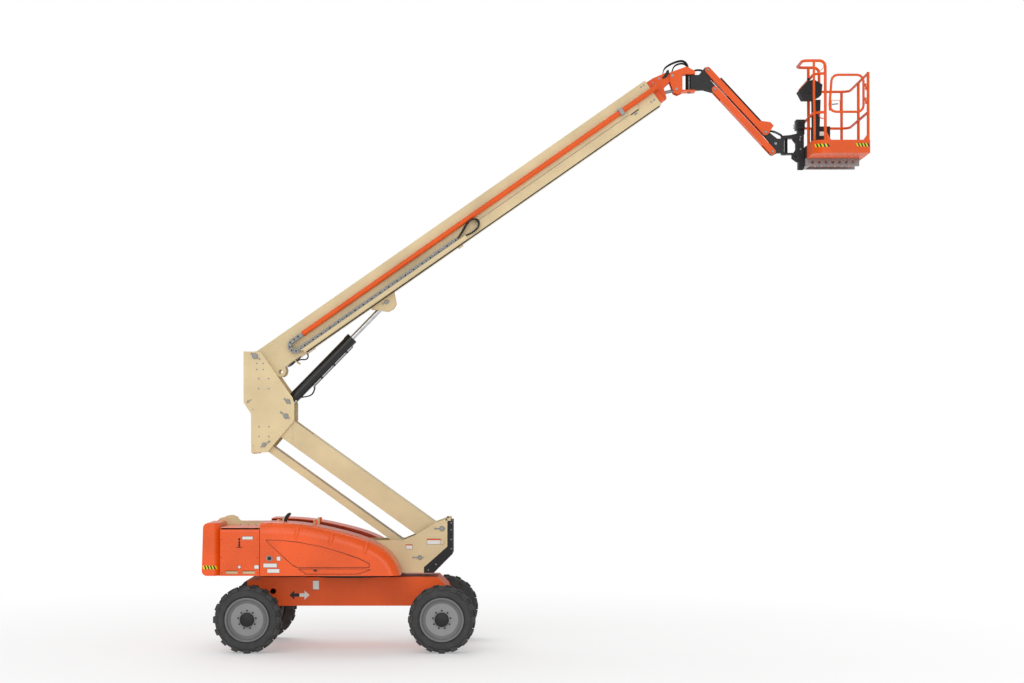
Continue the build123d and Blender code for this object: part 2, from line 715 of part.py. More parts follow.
def hood_form(inset):
    """The swept hood as a solid, with every face moved in by the inset."""
    crown = Spline(*hood_crown(inset))
    rear = crown @ 0
    nose = crown @ 1
    corner = (rear.X, nose.Y)
    face = make_face(Wire([crown, Line(nose, corner), Line(corner, rear)]))
    y_out = HALF_BODY_WIDTH - inset
    y_in = HOOD_INNER if inset == 0 else HOOD_INNER - 1
    low = COVER_BOTTOM if inset == 0 else COVER_BOTTOM - 1
    solid = extrude(Plane.XZ.offset(-y_out) * face, y_out - y_in, dir=(0, -1, 0))
    shoulder = [e for e in solid.edges() if e.geom_type == GeomType.BSPLINE and e.center().Y > y_out - 1]
    solid = fillet(shoulder, HOOD_SHOULDER - inset)
    return solid & block(HOOD_REAR + inset, 2000, y_in, y_out + 1, low, 2000)


def hood(side):
    """Open shell with two shallow panels pressed into its outer face, and its hinge leaves."""
    solid = hood_form(0) - hood_form(HOOD_WALL)
    upper = [
        (-1110, 1594), (-653, 1568), (-27, 1412), (390, 1294), (340, 1205), (-666, 1203), (-718, 1216),
    ]
    lower = [(-650, 1186), (-549, 1111), (182, 1111), (365, 1172)]
    for outline in (upper, lower):
        solid -= side_profile(outline, HALF_BODY_WIDTH - HOOD_RECESS, HALF_BODY_WIDTH + 1)
    y_pin, z_pin = HINGE_AXIS
    for x, top in HOOD_HINGES:
        x_low = x + RUN_GAP
        solid += long_bar(x_low, x_low + HINGE_HALF, y_pin, z_pin, HINGE_RADIUS)
        solid += block(x_low, x_low + HINGE_HALF, y_pin, HOOD_INNER + HINGE_HALF, top - HOOD_WALL / 2,
                       z_pin + HINGE_RADIUS)
    return solid if side > 0 else mirror(solid, Plane.XZ)


def engine_block():
    length, width, height = ENGINE_SIZE
    low = DECK_BOTTOM + DECK_THICK
    y_in = PLATE_FACE + 60
    solid = block(ENGINE_CENTRE_X - length / 2, ENGINE_CENTRE_X + length / 2, y_in, y_in + width,
                  low + 40, low + 40 + height)
    for x in (ENGINE_CENTRE_X - length / 2 + 20, ENGINE_CENTRE_X + length / 2 - 100):
        solid += block(x, x + 80, y_in + 40, DECK_HALF_WIDTH - 30, low, low + 40)
    return solid


def tank():
    length, width, height = TANK_SIZE
    low = DECK_BOTTOM + DECK_THICK
    y_in = PLATE_FACE + 50
    solid = block(TANK_CENTRE_X - length / 2, TANK_CENTRE_X + length / 2, -y_in - width, -y_in,
                  low, low + height)
    solid = fillet(solid.edges().filter_by(Axis.Z), 30)
    return solid + upright_pin(TANK_CENTRE_X + 200, -y_in - width / 2, 40, low + height, low + height + 30)


# Tower


def tower_arm():
    """Upper tower member: pins at its top edge, open below where the lift cylinder lies in it."""
    low = ARM_RISE - ARM_DEPTH
    face = ARM_HALF_WIDTH - ARM_WALL
    length = ARM_LENGTH
    outline = [
        (-69, -10), (-60, -190), (60, low), (length - 180, low), (length + 62, -33),
        (length - 42, 56), (length - ARM_END, ARM_RISE), (ARM_END, ARM_RISE), (42, 56),
    ]
    doubler = [
        (-70, -20), (-30, 60), (40, 66), (ARM_END, 0), (286, -240), (281, low + 6), (100, low + 6),
        (-60, -200),
    ]
    head = (length - TOWER_CYL_REACH, -TOWER_CYL_DROP)
    plate = side_profile(outline, face, ARM_HALF_WIDTH)
    plate += side_profile(doubler, ARM_HALF_WIDTH, ARM_HALF_WIDTH + ARM_CHEEK_THICK)
    plate += cross_pin(head, TOWER_BOSS_RADIUS, TOWER_BOSS_FACE, face)
    for x in (0, length):
        plate += cross_pin((x, 0), ARM_EYE, face - ARM_BOSS, ARM_HALF_WIDTH)
        plate -= cross_pin((x, 0), ARM_PIN_RADIUS + RUN_GAP, 0, 2 * ARM_HALF_WIDTH)
    top = block(ARM_END, length - ARM_END, -face, face, ARM_RISE - ARM_WALL, ARM_RISE)
    top -= block(0, ARM_NOTCH_END, -ARM_NOTCH_HALF, ARM_NOTCH_HALF, -ARM_DEPTH, ARM_DEPTH)
    floor = block(ARM_PLATE_START, head[0] - 2 * TOWER_BOSS_RADIUS, -face, face, low, low + ARM_WALL)
    return ARM_FRAME * (both_sides(plate) + top + floor)


def tower_link():
    """Lower tower member: a closed box between two pairs of round eyes."""
    half = LINK_DEPTH / 2
    face = LINK_HALF_WIDTH - LINK_WALL
    taper = 2 * LINK_EYE
    plate = block(taper, ARM_LENGTH - taper, face, LINK_HALF_WIDTH, -half, half)
    for x, x_inner in ((0, taper), (ARM_LENGTH, ARM_LENGTH - taper)):
        plate += capsule((x, 0), (x_inner, 0), LINK_EYE, half, face, LINK_HALF_WIDTH)
        plate -= cross_pin((x, 0), LINK_PIN_RADIUS + RUN_GAP, 0, 2 * LINK_HALF_WIDTH)
    solid = both_sides(plate)
    for z_low in (half - LINK_WALL, -half):
        solid += block(taper, ARM_LENGTH - taper, -face, face, z_low, z_low + LINK_WALL)
    for x in (0, ARM_LENGTH):
        tube = cross_pin((x, 0), LINK_PIN_RADIUS + 14, -face, face)
        solid += tube - cross_pin((x, 0), LINK_PIN_RADIUS + RUN_GAP, -face - 1, face + 1)
    return LINK_FRAME * solid


def cylinder_frame(foot, head):
    reach = math.hypot(head[0] - foot[0], head[1] - foot[1])
    angle = math.degrees(math.atan2(head[1] - foot[1], head[0] - foot[0]))
    return frame_at(foot, angle), reach


def barrel(radius, bore, length, eye_radius, eye_half_width, pin_radius, collar):
    """Cylinder barrel from its foot eye at the origin, open in front for the rod."""
    solid = cross_pin((0, 0), eye_radius, -eye_half_width, eye_half_width)
    solid += block(0, eye_radius + 20, -eye_half_width, eye_half_width, -eye_radius * 0.8, eye_radius * 0.8)
    solid -= cross_pin((0, 0), pin_radius, -eye_half_width - 1, eye_half_width + 1)
    start = eye_radius + 10
    solid += long_bar(start, length, 0, 0, radius)
    solid += long_bar(length - 90, length, 0, 0, radius + collar)
    return solid - long_bar(start + 60, length + 1, 0, 0, bore)


def cylinder_rod(radius, bore, piston, reach, eye_radius, eye_half_width, pin_radius):
    """Piston, rod and eye; the eye is at the full reach from the foot."""
    solid = long_bar(piston, piston + 90, 0, 0, bore - RUN_GAP)
    solid += long_bar(piston, reach - eye_radius * 0.8, 0, 0, radius)
    solid += cross_pin((reach, 0), eye_radius, -eye_half_width, eye_half_width)
    return solid - cross_pin((reach, 0), pin_radius, -eye_half_width - 1, eye_half_width + 1)


def tower_cylinder():
    place, reach = cylinder_frame(TOWER_CYL_FOOT, TOWER_CYL_HEAD)
    bore = TOWER_BARREL_RADIUS - 12
    foot = barrel(TOWER_BARREL_RADIUS, bore, TOWER_BARREL_LENGTH, 52, 52,
                  LINK_PIN_RADIUS + RUN_GAP, 4)
    rod = cylinder_rod(TOWER_ROD_RADIUS, bore, TOWER_PISTON_START, reach, 50, 50, LINK_PIN_RADIUS + 8)
    gland = long_bar(TOWER_BARREL_LENGTH - 80, TOWER_BARREL_LENGTH, 0, 0, bore)
    gland -= long_bar(0, 2 * reach, 0, 0, TOWER_ROD_RADIUS + RUN_GAP)
    return place * (foot + gland), place * rod


# Upright


def upright_outline():
    x0, z0 = ARM_TOP
    offsets = ((-617, 938), (-371, 931), (94, 268), (117, 180), (118, -65), (-272, -524),
               (-505, -529), (-506, 31), (-615, 198))
    return [(x0 + dx, z0 + dz) for dx, dz in offsets]


def upright():
    plate = side_profile(upright_outline(), UPRIGHT_FACE - UPRIGHT_THICK, UPRIGHT_FACE)
    for point, radius in ((ARM_TOP, ARM_PIN_RADIUS), (LINK_TOP, LINK_PIN_RADIUS),
                          (BOOM_PIVOT, BOOM_PIN_RADIUS), (LIFT_FOOT, LIFT_PIN_RADIUS)):
        plate -= cross_pin(point, radius, 0, 2 * UPRIGHT_FACE)
    x0, z0 = ARM_TOP
    inner = UPRIGHT_FACE - UPRIGHT_THICK
    t = UPRIGHT_WEB_THICK
    solid = both_sides(plate)
    solid += block(x0 - 615, x0 - 615 + t, -inner, inner, z0 + 210, z0 + 350)
    solid += block(x0 - 505, x0 - 505 + t, -inner, inner, z0 - 520, z0 + 20)
    return solid


def upright_pins():
    reach = UPRIGHT_FACE + 16
    stub = UPRIGHT_FACE - 84
    solid = cross_pin(BOOM_PIVOT, BOOM_PIN_RADIUS, -reach, reach)
    solid += both_sides(cross_pin(ARM_TOP, ARM_PIN_RADIUS, stub, reach))
    solid += cross_pin(LINK_TOP, LINK_PIN_RADIUS, -reach, reach)
    foot = cross_pin(LIFT_FOOT, LIFT_PIN_RADIUS, LIFT_FOOT_HALF_WIDTH + RUN_GAP, reach)
    return solid + both_sides(foot)


# Main boom


def boom_base():
    solid = box_tube(250, BOOM_LENGTH, BOOM_HALF_WIDTH, BOOM_BOTTOM, BOOM_TOP, BOOM_WALL)
    rear = [
        (-30, BOOM_TOP), (260, BOOM_TOP), (260, BOOM_BOTTOM), (240, BOOM_BOTTOM - 60),
        (BOOM_EAR[0] + 66, BOOM_EAR[1] - 30), (BOOM_EAR[0] - 60, BOOM_EAR[1] - 40),
        (-60, -180), (-80, -40),
    ]
    face = BOOM_HALF_WIDTH - 16
    cheek = side_profile(rear, face, BOOM_HALF_WIDTH)
    cheek += cross_pin(BOOM_EAR, BOOM_EAR_RADIUS, face, BOOM_HALF_WIDTH)
    cheek += cross_pin((0, 0), BOOM_HUB_RADIUS, face, BOOM_HALF_WIDTH)
    cheek -= cross_pin(BOOM_EAR, BOOM_EAR_HOLE, 0, 2 * BOOM_HALF_WIDTH)
    solid += both_sides(cheek)
    solid += block(-20, 260, -face, face, BOOM_TOP - BOOM_WALL, BOOM_TOP)
    solid += cross_pin((0, 0), BOOM_HUB_RADIUS - 15, -face, face)
    solid -= cross_pin((0, 0), BOOM_PIN_RADIUS + RUN_GAP, -500, 500)
    lug_x, lug_z = LIFT_PIN
    lug = [
        (lug_x - 245, BOOM_BOTTOM), (lug_x + 175, BOOM_BOTTOM), (lug_x + 100, lug_z - 100),
        (lug_x + 30, lug_z - 135), (lug_x - 60, lug_z - 125), (lug_x - 245, BOOM_BOTTOM - 25),
    ]
    lug_plate = side_profile(lug, LUG_PLATE_FACE - LUG_PLATE_THICK, LUG_PLATE_FACE)
    lug_plate -= cross_pin(LIFT_PIN, LIFT_PIN_RADIUS, 0, 2 * LUG_PLATE_FACE)
    return BOOM_FRAME * (solid + both_sides(lug_plate))


def wear_pads(x_low, x_high, inner_z, outer_z, inner_y, outer_y):
    """Four pads that fill the gap round the fly on all four faces."""
    top_in, top_out = inner_z[1], outer_z[1]
    low_in, low_out = inner_z[0], outer_z[0]
    solid = block(x_low, x_high, -110, 110, top_in, top_out)
    solid += block(x_low, x_high, -110, 110, low_out, low_in)
    side = block(x_low, x_high, inner_y, outer_y, low_in + 90, top_in - 90)
    return solid + both_sides(side)


FLY_MID = (BOOM_TOP + BOOM_BOTTOM) / 2
FLY_TOP = FLY_MID + FLY_DEPTH / 2
FLY_LOW = FLY_MID - FLY_DEPTH / 2
BASE_IN_Z = (BOOM_BOTTOM + BOOM_WALL, BOOM_TOP - BOOM_WALL)
BASE_IN_Y = BOOM_HALF_WIDTH - BOOM_WALL


def boom_pads():
    return BOOM_FRAME * wear_pads(BOOM_LENGTH - PAD_LENGTH - 10, BOOM_LENGTH - 10,
                                  (FLY_LOW - RUN_GAP, FLY_TOP + RUN_GAP), BASE_IN_Z,
                                  FLY_HALF_WIDTH + RUN_GAP, BASE_IN_Y)


def fly_pads():
    low, high = BASE_IN_Z
    return BOOM_FRAME * wear_pads(FLY_REAR + 10, FLY_REAR + 10 + PAD_LENGTH, (FLY_LOW, FLY_TOP),
                                  (low + RUN_GAP, high - RUN_GAP), FLY_HALF_WIDTH,
                                  BASE_IN_Y - RUN_GAP)


def boom_pin():
    reach = LUG_PLATE_FACE + 10
    return BOOM_FRAME * cross_pin(LIFT_PIN, LIFT_PIN_RADIUS, -reach, reach)


TRAY_MID = FLY_MID - 50
CHAIN_LOW_RUN = TRAY_MID - CHAIN_SPACING / 2 - CHAIN_LINK_DEPTH / 2
CHAIN_HIGH_RUN = CHAIN_LOW_RUN + CHAIN_SPACING + CHAIN_LINK_DEPTH


def hose_tray():
    """Tray on the near side of the boom that holds the cable chain."""
    y_in = -BOOM_HALF_WIDTH
    y_out = y_in - TRAY_DEPTH
    low = TRAY_MID - CHAIN_SPACING / 2 - CHAIN_LINK_DEPTH
    start = CHAIN_BEND_X + CHAIN_LINK_PITCH / 2
    solid = block(start, TRAY_END, y_out, y_in, low - TRAY_LIP, low)
    solid += block(start, TRAY_END, y_out - 5, y_out, low - TRAY_LIP, low + TRAY_LIP)
    return BOOM_FRAME * solid


def chain_band(y_low, y_high):
    """The chain's band from the lower run round the bend to the upper run."""
    radius = (CHAIN_HIGH_RUN - CHAIN_LOW_RUN) / 2
    half = CHAIN_LINK_DEPTH / 2 - RUN_GAP
    x0 = CHAIN_BEND_X
    band = block(x0, TRAY_END - 20, y_low, y_high, CHAIN_LOW_RUN - half, CHAIN_LOW_RUN + half)
    band += block(x0, x0 + CHAIN_FREE_RUN, y_low, y_high, CHAIN_HIGH_RUN - half, CHAIN_HIGH_RUN + half)
    centre = (x0, (CHAIN_LOW_RUN + CHAIN_HIGH_RUN) / 2)
    ring = cross_pin(centre, radius + half, y_low, y_high)
    ring -= cross_pin(centre, radius - half, y_low - 1, y_high + 1)
    return band + (ring & block(x0 - 400, x0, y_low, y_high, centre[1] - 400, centre[1] + 400))


def chain_stations():
    """Joints between links and their headings, from the front of the lower run round the bend."""
    radius = (CHAIN_HIGH_RUN - CHAIN_LOW_RUN) / 2
    low_run = TRAY_END - 20 - CHAIN_BEND_X
    bend_run = math.pi * radius
    count = int((low_run + bend_run + CHAIN_FREE_RUN) / CHAIN_LINK_PITCH)
    stations = []
    for index in range(count):
        s = (index + 1) * CHAIN_LINK_PITCH
        if s <= low_run:
            stations.append((TRAY_END - 20 - s, CHAIN_LOW_RUN, 0))
        elif s <= low_run + bend_run:
            turn = (s - low_run) / radius
            stations.append((CHAIN_BEND_X - radius * math.sin(turn),
                             CHAIN_LOW_RUN + radius * (1 - math.cos(turn)), -math.degrees(turn)))
        else:
            stations.append((CHAIN_BEND_X + s - low_run - bend_run, CHAIN_HIGH_RUN, 180))
    return stations


def cable_chain():
    """Cable chain with a groove between each two links on its outer side."""
    y_high = -BOOM_HALF_WIDTH - 12
    y_low = -BOOM_HALF_WIDTH - TRAY_DEPTH + 12
    solid = chain_band(y_low, y_high)
    half = CHAIN_LINK_GAP / 2
    groove = block(-half, half, y_low - 1, y_low + CHAIN_GROOVE, -CHAIN_LINK_DEPTH, CHAIN_LINK_DEPTH / 2 + 1)
    for x, z, heading in chain_stations():
        solid -= Location((x, 0, z), (0, -heading, 0)) * groove
    return BOOM_FRAME * solid


PUSH_TUBE_Z = CHAIN_HIGH_RUN
PUSH_TUBE_START = CHAIN_BEND_X + CHAIN_FREE_RUN + 2
PUSH_TUBE_Y = -BOOM_HALF_WIDTH - PUSH_TUBE_RADIUS - CLAMP_WALL


def push_tube():
    """Tube beside the boom that the fly carries along to pull the chain."""
    end = BOOM_LENGTH + FLY_OVERHANG
    solid = long_bar(PUSH_TUBE_START, end + 60, PUSH_TUBE_Y, PUSH_TUBE_Z, PUSH_TUBE_RADIUS)
    arm = block(end, end + 40, PUSH_TUBE_Y - 20, -FLY_HALF_WIDTH, PUSH_TUBE_Z - 20, PUSH_TUBE_Z + 20)
    return BOOM_FRAME * (solid + arm)


def guide_clamp():
    """A clamp at each place on the boom's side, which the push tube slides through."""
    solid = Part()
    reach = PUSH_TUBE_RADIUS + CLAMP_WALL
    half = CLAMP_LENGTH / 2
    for x in CLAMP_PLACES:
        body = block(x - half, x + half, PUSH_TUBE_Y - reach, -BOOM_HALF_WIDTH, PUSH_TUBE_Z - reach,
                     PUSH_TUBE_Z + reach)
        solid += body - long_bar(x - half - 1, x + half + 1, PUSH_TUBE_Y, PUSH_TUBE_Z,
                                 PUSH_TUBE_RADIUS + RUN_GAP)
    return BOOM_FRAME * solid


def boom_fly():
    end = BOOM_LENGTH + FLY_OVERHANG
    return BOOM_FRAME * box_tube(FLY_REAR, end, FLY_HALF_WIDTH, FLY_LOW, FLY_TOP, FLY_WALL)


def fly_nose():
    """Plate nose at the end of the fly, narrowing to the levelling pivot."""
    x0, z0 = NOSE_PIVOT
    start = BOOM_LENGTH + FLY_OVERHANG
    outline = [
        (start, FLY_LOW), (start + 70, FLY_LOW), (start + 120, FLY_LOW + 150),
        (x0 - 150, z0 - 60), (x0 + 10, z0 - 46), (x0 + 40, z0), (x0 + 10, z0 + 46),
        (x0 - 40, z0 + 90), (start + 60, FLY_TOP + 6), (start, FLY_TOP),
    ]
    plate = side_profile(outline, NOSE_HALF_WIDTH - 18, NOSE_HALF_WIDTH)
    plate -= cross_pin(NOSE_PIVOT, NOSE_PIN_RADIUS + RUN_GAP, 0, 300)
    solid = both_sides(plate)
    solid += block(start, start + 18, -FLY_HALF_WIDTH, FLY_HALF_WIDTH, FLY_LOW, FLY_TOP)
    passage = frame_at(LEVEL_POINT, LEVEL_ROD_SLOPE) * long_bar(-700, 0, 0, 0, LEVEL_ROD_RADIUS + RUN_GAP)
    return BOOM_FRAME * solid - passage


def lift_cylinder():
    place, reach = cylinder_frame(LIFT_FOOT, LIFT_HEAD)
    bore = LIFT_BARREL_RADIUS - 14
    foot = barrel(LIFT_BARREL_RADIUS, bore, LIFT_BARREL_LENGTH, 70, LIFT_FOOT_HALF_WIDTH,
                  LIFT_PIN_RADIUS + RUN_GAP, 6)
    gland = long_bar(LIFT_BARREL_LENGTH - 90, LIFT_BARREL_LENGTH, 0, 0, bore)
    gland -= long_bar(0, 2 * reach, 0, 0, LIFT_ROD_RADIUS + RUN_GAP)
    rod = cylinder_rod(LIFT_ROD_RADIUS, bore, LIFT_PISTON_START, reach, LIFT_EYE_RADIUS,
                       LIFT_EYE_HALF_WIDTH, LIFT_PIN_RADIUS + RUN_GAP)
    return place * (foot + gland), place * rod


# Levelling bracket and jib


def level_bracket():
    """Upright fork that the swing pin of the jib stands in."""
    x0, z0 = NOSE_POINT
    offsets = ((-34, 46), (210, 134), (334, 67), (334, 22), (145, 26), (145, -201), (167, -208),
               (145, -240), (78, -270), (20, -245), (-34, -90))
    outline = [(x0 + dx, z0 + dz) for dx, dz in offsets]
    plate = side_profile(outline, BRACKET_FACE - BRACKET_THICK, BRACKET_FACE)
    plate -= cross_pin(NOSE_POINT, NOSE_PIN_RADIUS, 0, 300)
    plate -= cross_pin(LEVEL_POINT, NOSE_PIN_RADIUS, 0, 300)
    solid = both_sides(plate)
    inner = BRACKET_FACE - BRACKET_THICK
    solid += block(x0 + 100, x0 + 334, -inner, inner, z0 + 22, z0 + 46)
    solid += block(x0 + BRACKET_WEB, x0 + 334, -BRACKET_FACE, BRACKET_FACE, z0 - 231, z0 - 207)
    solid += block(x0 + BRACKET_WEB, x0 + BRACKET_WEB + 20, -inner, inner, z0 - 210, z0 + 24)
    for z_low, z_high in ((z0 + 20, z0 + 48), (z0 - 240, z0 - 206)):
        solid -= upright_pin(SWING_X, 0, SWING_PIN_RADIUS, z_low, z_high)
    return solid


def bracket_pins():
    reach = BRACKET_FACE + 8
    solid = cross_pin(NOSE_POINT, NOSE_PIN_RADIUS, -reach, reach)
    stub = both_sides(cross_pin(LEVEL_POINT, NOSE_PIN_RADIUS, BRACKET_FACE - BRACKET_THICK - 36, reach))
    z0 = NOSE_POINT[1]
    return solid + stub + upright_pin(SWING_X, 0, SWING_PIN_RADIUS, z0 - 246, z0 + 52)


def level_rod():
    """Rod of the levelling cylinder, whose barrel is inside the fly."""
    place = frame_at(LEVEL_POINT, LEVEL_ROD_SLOPE)
    solid = long_bar(-420, -30, 0, 0, LEVEL_ROD_RADIUS)
    solid += cross_pin((0, 0), 36, -40, 40)
    return place * (solid - cross_pin((0, 0), NOSE_PIN_RADIUS + 4, -50, 50))


def pin_window(x, z_low, z_high, barrel_radius):
    """Openings on both sides of a barrel that leave its pin in view."""
    half = SWING_PIN_RADIUS * 0.75
    margin = 12
    window = block(x - half, x + half, SWING_PIN_RADIUS * 0.5, barrel_radius + 1,
                   z_low + margin, z_high - margin)
    return both_sides(window)


def jib_base():
    z0 = NOSE_POINT[1]
    xa, za = JIB_TOP_A
    xb, zb = JIB_LOW_A
    low = z0 - 207 + RUN_GAP
    high = z0 + 22 - RUN_GAP
    solid = upright_pin(SWING_X, 0, SWING_BARREL_RADIUS, low, high)
    outline = [
        (SWING_X + 20, high - 4), (SWING_X + 140, high - 4), (xa - 40, za + 40), (xa + 12, za + 42),
        (xa + 40, za), (xa + JIB_WAIST[0], za + JIB_WAIST[1]), (xb + 26, zb + 34), (xb + 40, zb - 20),
        (xb, zb - 44), (xb - 170, low + 12), (SWING_X + 20, low + 4),
    ]
    plate = side_profile(outline, JIB_CORE_FACE - 22, JIB_CORE_FACE - RUN_GAP)
    solid += both_sides(plate)
    solid += block(SWING_X + 30, SWING_X + 150, -JIB_CORE_FACE + 22, JIB_CORE_FACE - 22, low + 4, high - 4)
    for point in (JIB_TOP_A, JIB_LOW_A):
        solid += cross_pin(point, 44, -JIB_CORE_FACE + RUN_GAP, JIB_CORE_FACE - RUN_GAP)
        solid -= cross_pin(point, JIB_PIN_RADIUS, -200, 200)
    solid -= pin_window(SWING_X, low, high, SWING_BARREL_RADIUS)
    return solid - upright_pin(SWING_X, 0, SWING_PIN_RADIUS + RUN_GAP, z0 - 300, z0 + 100)


def jib_pins(top, low):
    reach = JIB_ARM_FACE + 6
    return (cross_pin(top, JIB_PIN_RADIUS, -reach, reach)
            + cross_pin(low, JIB_PIN_RADIUS, -reach, reach))


def jib_arm(place, ear):
    """Jib member: a tube between two pairs of cheeks that straddle the castings."""
    half = JIB_ARM_DEPTH / 2
    face = JIB_ARM_FACE - JIB_CHEEK
    cheek = capsule((0, 0), (JIB_LENGTH, 0), half, half, face, JIB_ARM_FACE)
    if ear:
        end = JIB_LENGTH
        cheek += side_profile([(end - 190, half), (end - 60, 150), (end + 10, 150),
                               (end + half, 10), (end, 0)], face, JIB_ARM_FACE)
    for x in (0, JIB_LENGTH):
        cheek -= cross_pin((x, 0), JIB_PIN_RADIUS + RUN_GAP, 0, 200)
    solid = both_sides(cheek)
    for z_low in (half - 8, -half):
        solid += block(170, JIB_LENGTH - 170, -face, face, z_low, z_low + 8)
    return place * solid


def jib_end():
    xa, za = JIB_TOP_B
    xb, zb = JIB_LOW_B
    low = za - ROTATOR_LOW
    high = za - ROTATOR_HIGH
    outline = [
        (xa - 40, za), (xa, za + 42), (xa + 44, za + 8), (xa + 187, za - 106),
        (ROTATOR_X - 20, high), (ROTATOR_X - 20, low), (xb + 81, zb - 8), (xb + 10, zb - 42),
        (xb - 40, zb), (xb - JIB_WAIST[0], zb - JIB_WAIST[1]), (xa - 26, za - 34),
    ]
    plate = side_profile(outline, JIB_CORE_FACE - 22, JIB_CORE_FACE - RUN_GAP)
    solid = both_sides(plate)
    solid += block(ROTATOR_X - 130, ROTATOR_X - 30, -JIB_CORE_FACE + 22, JIB_CORE_FACE - 22, low, high)
    solid += upright_pin(ROTATOR_X, 0, ROTATOR_BARREL_RADIUS, low, high)
    for point in (JIB_TOP_B, JIB_LOW_B):
        solid += cross_pin(point, 42, -JIB_CORE_FACE + RUN_GAP, JIB_CORE_FACE - RUN_GAP)
        solid -= cross_pin(point, JIB_PIN_RADIUS, -200, 200)
    solid -= pin_window(ROTATOR_X, low, high, ROTATOR_BARREL_RADIUS)
    return solid - upright_pin(ROTATOR_X, 0, SWING_PIN_RADIUS + RUN_GAP, low - 1, high + 1)


# Platform


def platform_support():
    """Open fork on the rotator pin, the column that carries the platform, and its manifold."""
    x = ROTATOR_X
    low = JIB_TOP_B[1] - ROTATOR_LOW
    high = JIB_TOP_B[1] - ROTATOR_HIGH
    outline = [
        (x - 45, high + RUN_GAP), (x - 45, high + 40), (x + 80, high + 50), (x + 276, high + 94),
        (x + 276, low - 126), (x + 185, low - 129), (x + 110, low - 74), (x + 113, low - 24),
        (x - 45, low - 24), (x - 45, low - RUN_GAP), (x + 130, low - RUN_GAP), (x + 165, low + 50),
        (x + 165, high - 70), (x + 115, high + RUN_GAP),
    ]
    inner = FORK_FACE - FORK_PLATE
    plate = side_profile(outline, inner, FORK_FACE)
    plate -= capsule((x + 139, low - 38), (x + 221, low - 84), 9, 8.9, inner - 1, FORK_FACE + 1)
    solid = both_sides(plate)
    solid += block(x - 45, x + 200, -inner, inner, high + RUN_GAP, high + 24)
    solid += block(x - 45, x + 200, -inner, inner, low - 24, low - RUN_GAP)
    solid += block(x + 165, x + 180, -inner, inner, low - 24, high + 24)
    column = block(x + 200, x + 280, -78, 78, FLOOR_Z - 135, high + 70)
    solid += column - block(x + 208, x + 272, -70, 70, FLOOR_Z - 136, high + 62)
    solid += block(x + 280, x + PLATFORM_INNER - RUN_GAP, -MOUNT_HALF_WIDTH, MOUNT_HALF_WIDTH,
                   FLOOR_Z + 2, FLOOR_Z + KICK_HEIGHT - 12)
    solid -= upright_pin(x, 0, SWING_PIN_RADIUS, low - 40, high + 60)
    solid += block(x + 190, x + 290, -70, 70, high + 60, high + 127)
    solid += block(x + 165, x + 290, -110, 110, high + 127, high + 271)
    return solid


def rotator_pin():
    za = JIB_TOP_B[1]
    return upright_pin(ROTATOR_X, 0, SWING_PIN_RADIUS, za - ROTATOR_LOW - 32, za - ROTATOR_HIGH + 32)


def support_beams():
    """Two perforated beams under the floor, joined to the column."""
    x0 = ROTATOR_X + 280
    high = FLOOR_Z - 0.3
    low = high - BEAM_DEPTH
    solid = Part()
    for side in (-1, 1):
        y = side * BEAM_HALF_SPACING
        beam = block(x0 + 60, x0 + 782, y - BEAM_WIDTH / 2, y + BEAM_WIDTH / 2, low, high)
        beam -= block(x0 + 59, x0 + 783, y - BEAM_WIDTH / 2 + 6, y + BEAM_WIDTH / 2 - 6, low + 6, high - 6)
        for index in range(7):
            hole = cross_pin((x0 + 100 + index * 98, (low + high) / 2), 22, y - BEAM_WIDTH, y + BEAM_WIDTH)
            beam -= hole
        solid += beam
    solid += block(x0, x0 + 60, -BEAM_HALF_SPACING - 30, BEAM_HALF_SPACING + 30, low, high)
    return solid


def floor_plan(inset, z):
    """Plan of the platform: two rounded corners on the side of the rotator."""
    x_in = ROTATOR_X + PLATFORM_INNER + inset
    x_out = ROTATOR_X + PLATFORM_OUTER - inset
    y = PLATFORM_HALF_LENGTH - inset
    flat = Polygon((x_in, -y), (x_out, -y), (x_out, y), (x_in, y))
    corners = flat.vertices().sort_by(Axis.X)[:2]
    return Plane.XY.offset(z) * fillet(corners, PLATFORM_CORNER - inset)


def platform_floor():
    return extrude(floor_plan(KICK_THICK, FLOOR_Z), FLOOR_THICK, dir=(0, 0, 1))


def kick_plate():
    solid = extrude(floor_plan(0, FLOOR_Z), KICK_HEIGHT, dir=(0, 0, 1))
    return solid - extrude(floor_plan(KICK_THICK, FLOOR_Z - 1), KICK_HEIGHT + 2, dir=(0, 0, 1))


def gate_knuckle(x_root, x_pin, y, z_low):
    """One half of a gate hinge: a leaf from its tube to the barrel round the pin."""
    x_a = min(x_root, x_pin)
    x_b = max(x_root, x_pin)
    leaf = block(x_a, x_b, y - 6, y + 6, z_low, z_low + GATE_BARREL_HEIGHT)
    return leaf + upright_pin(x_pin, y, GATE_BARREL_RADIUS, z_low, z_low + GATE_BARREL_HEIGHT)


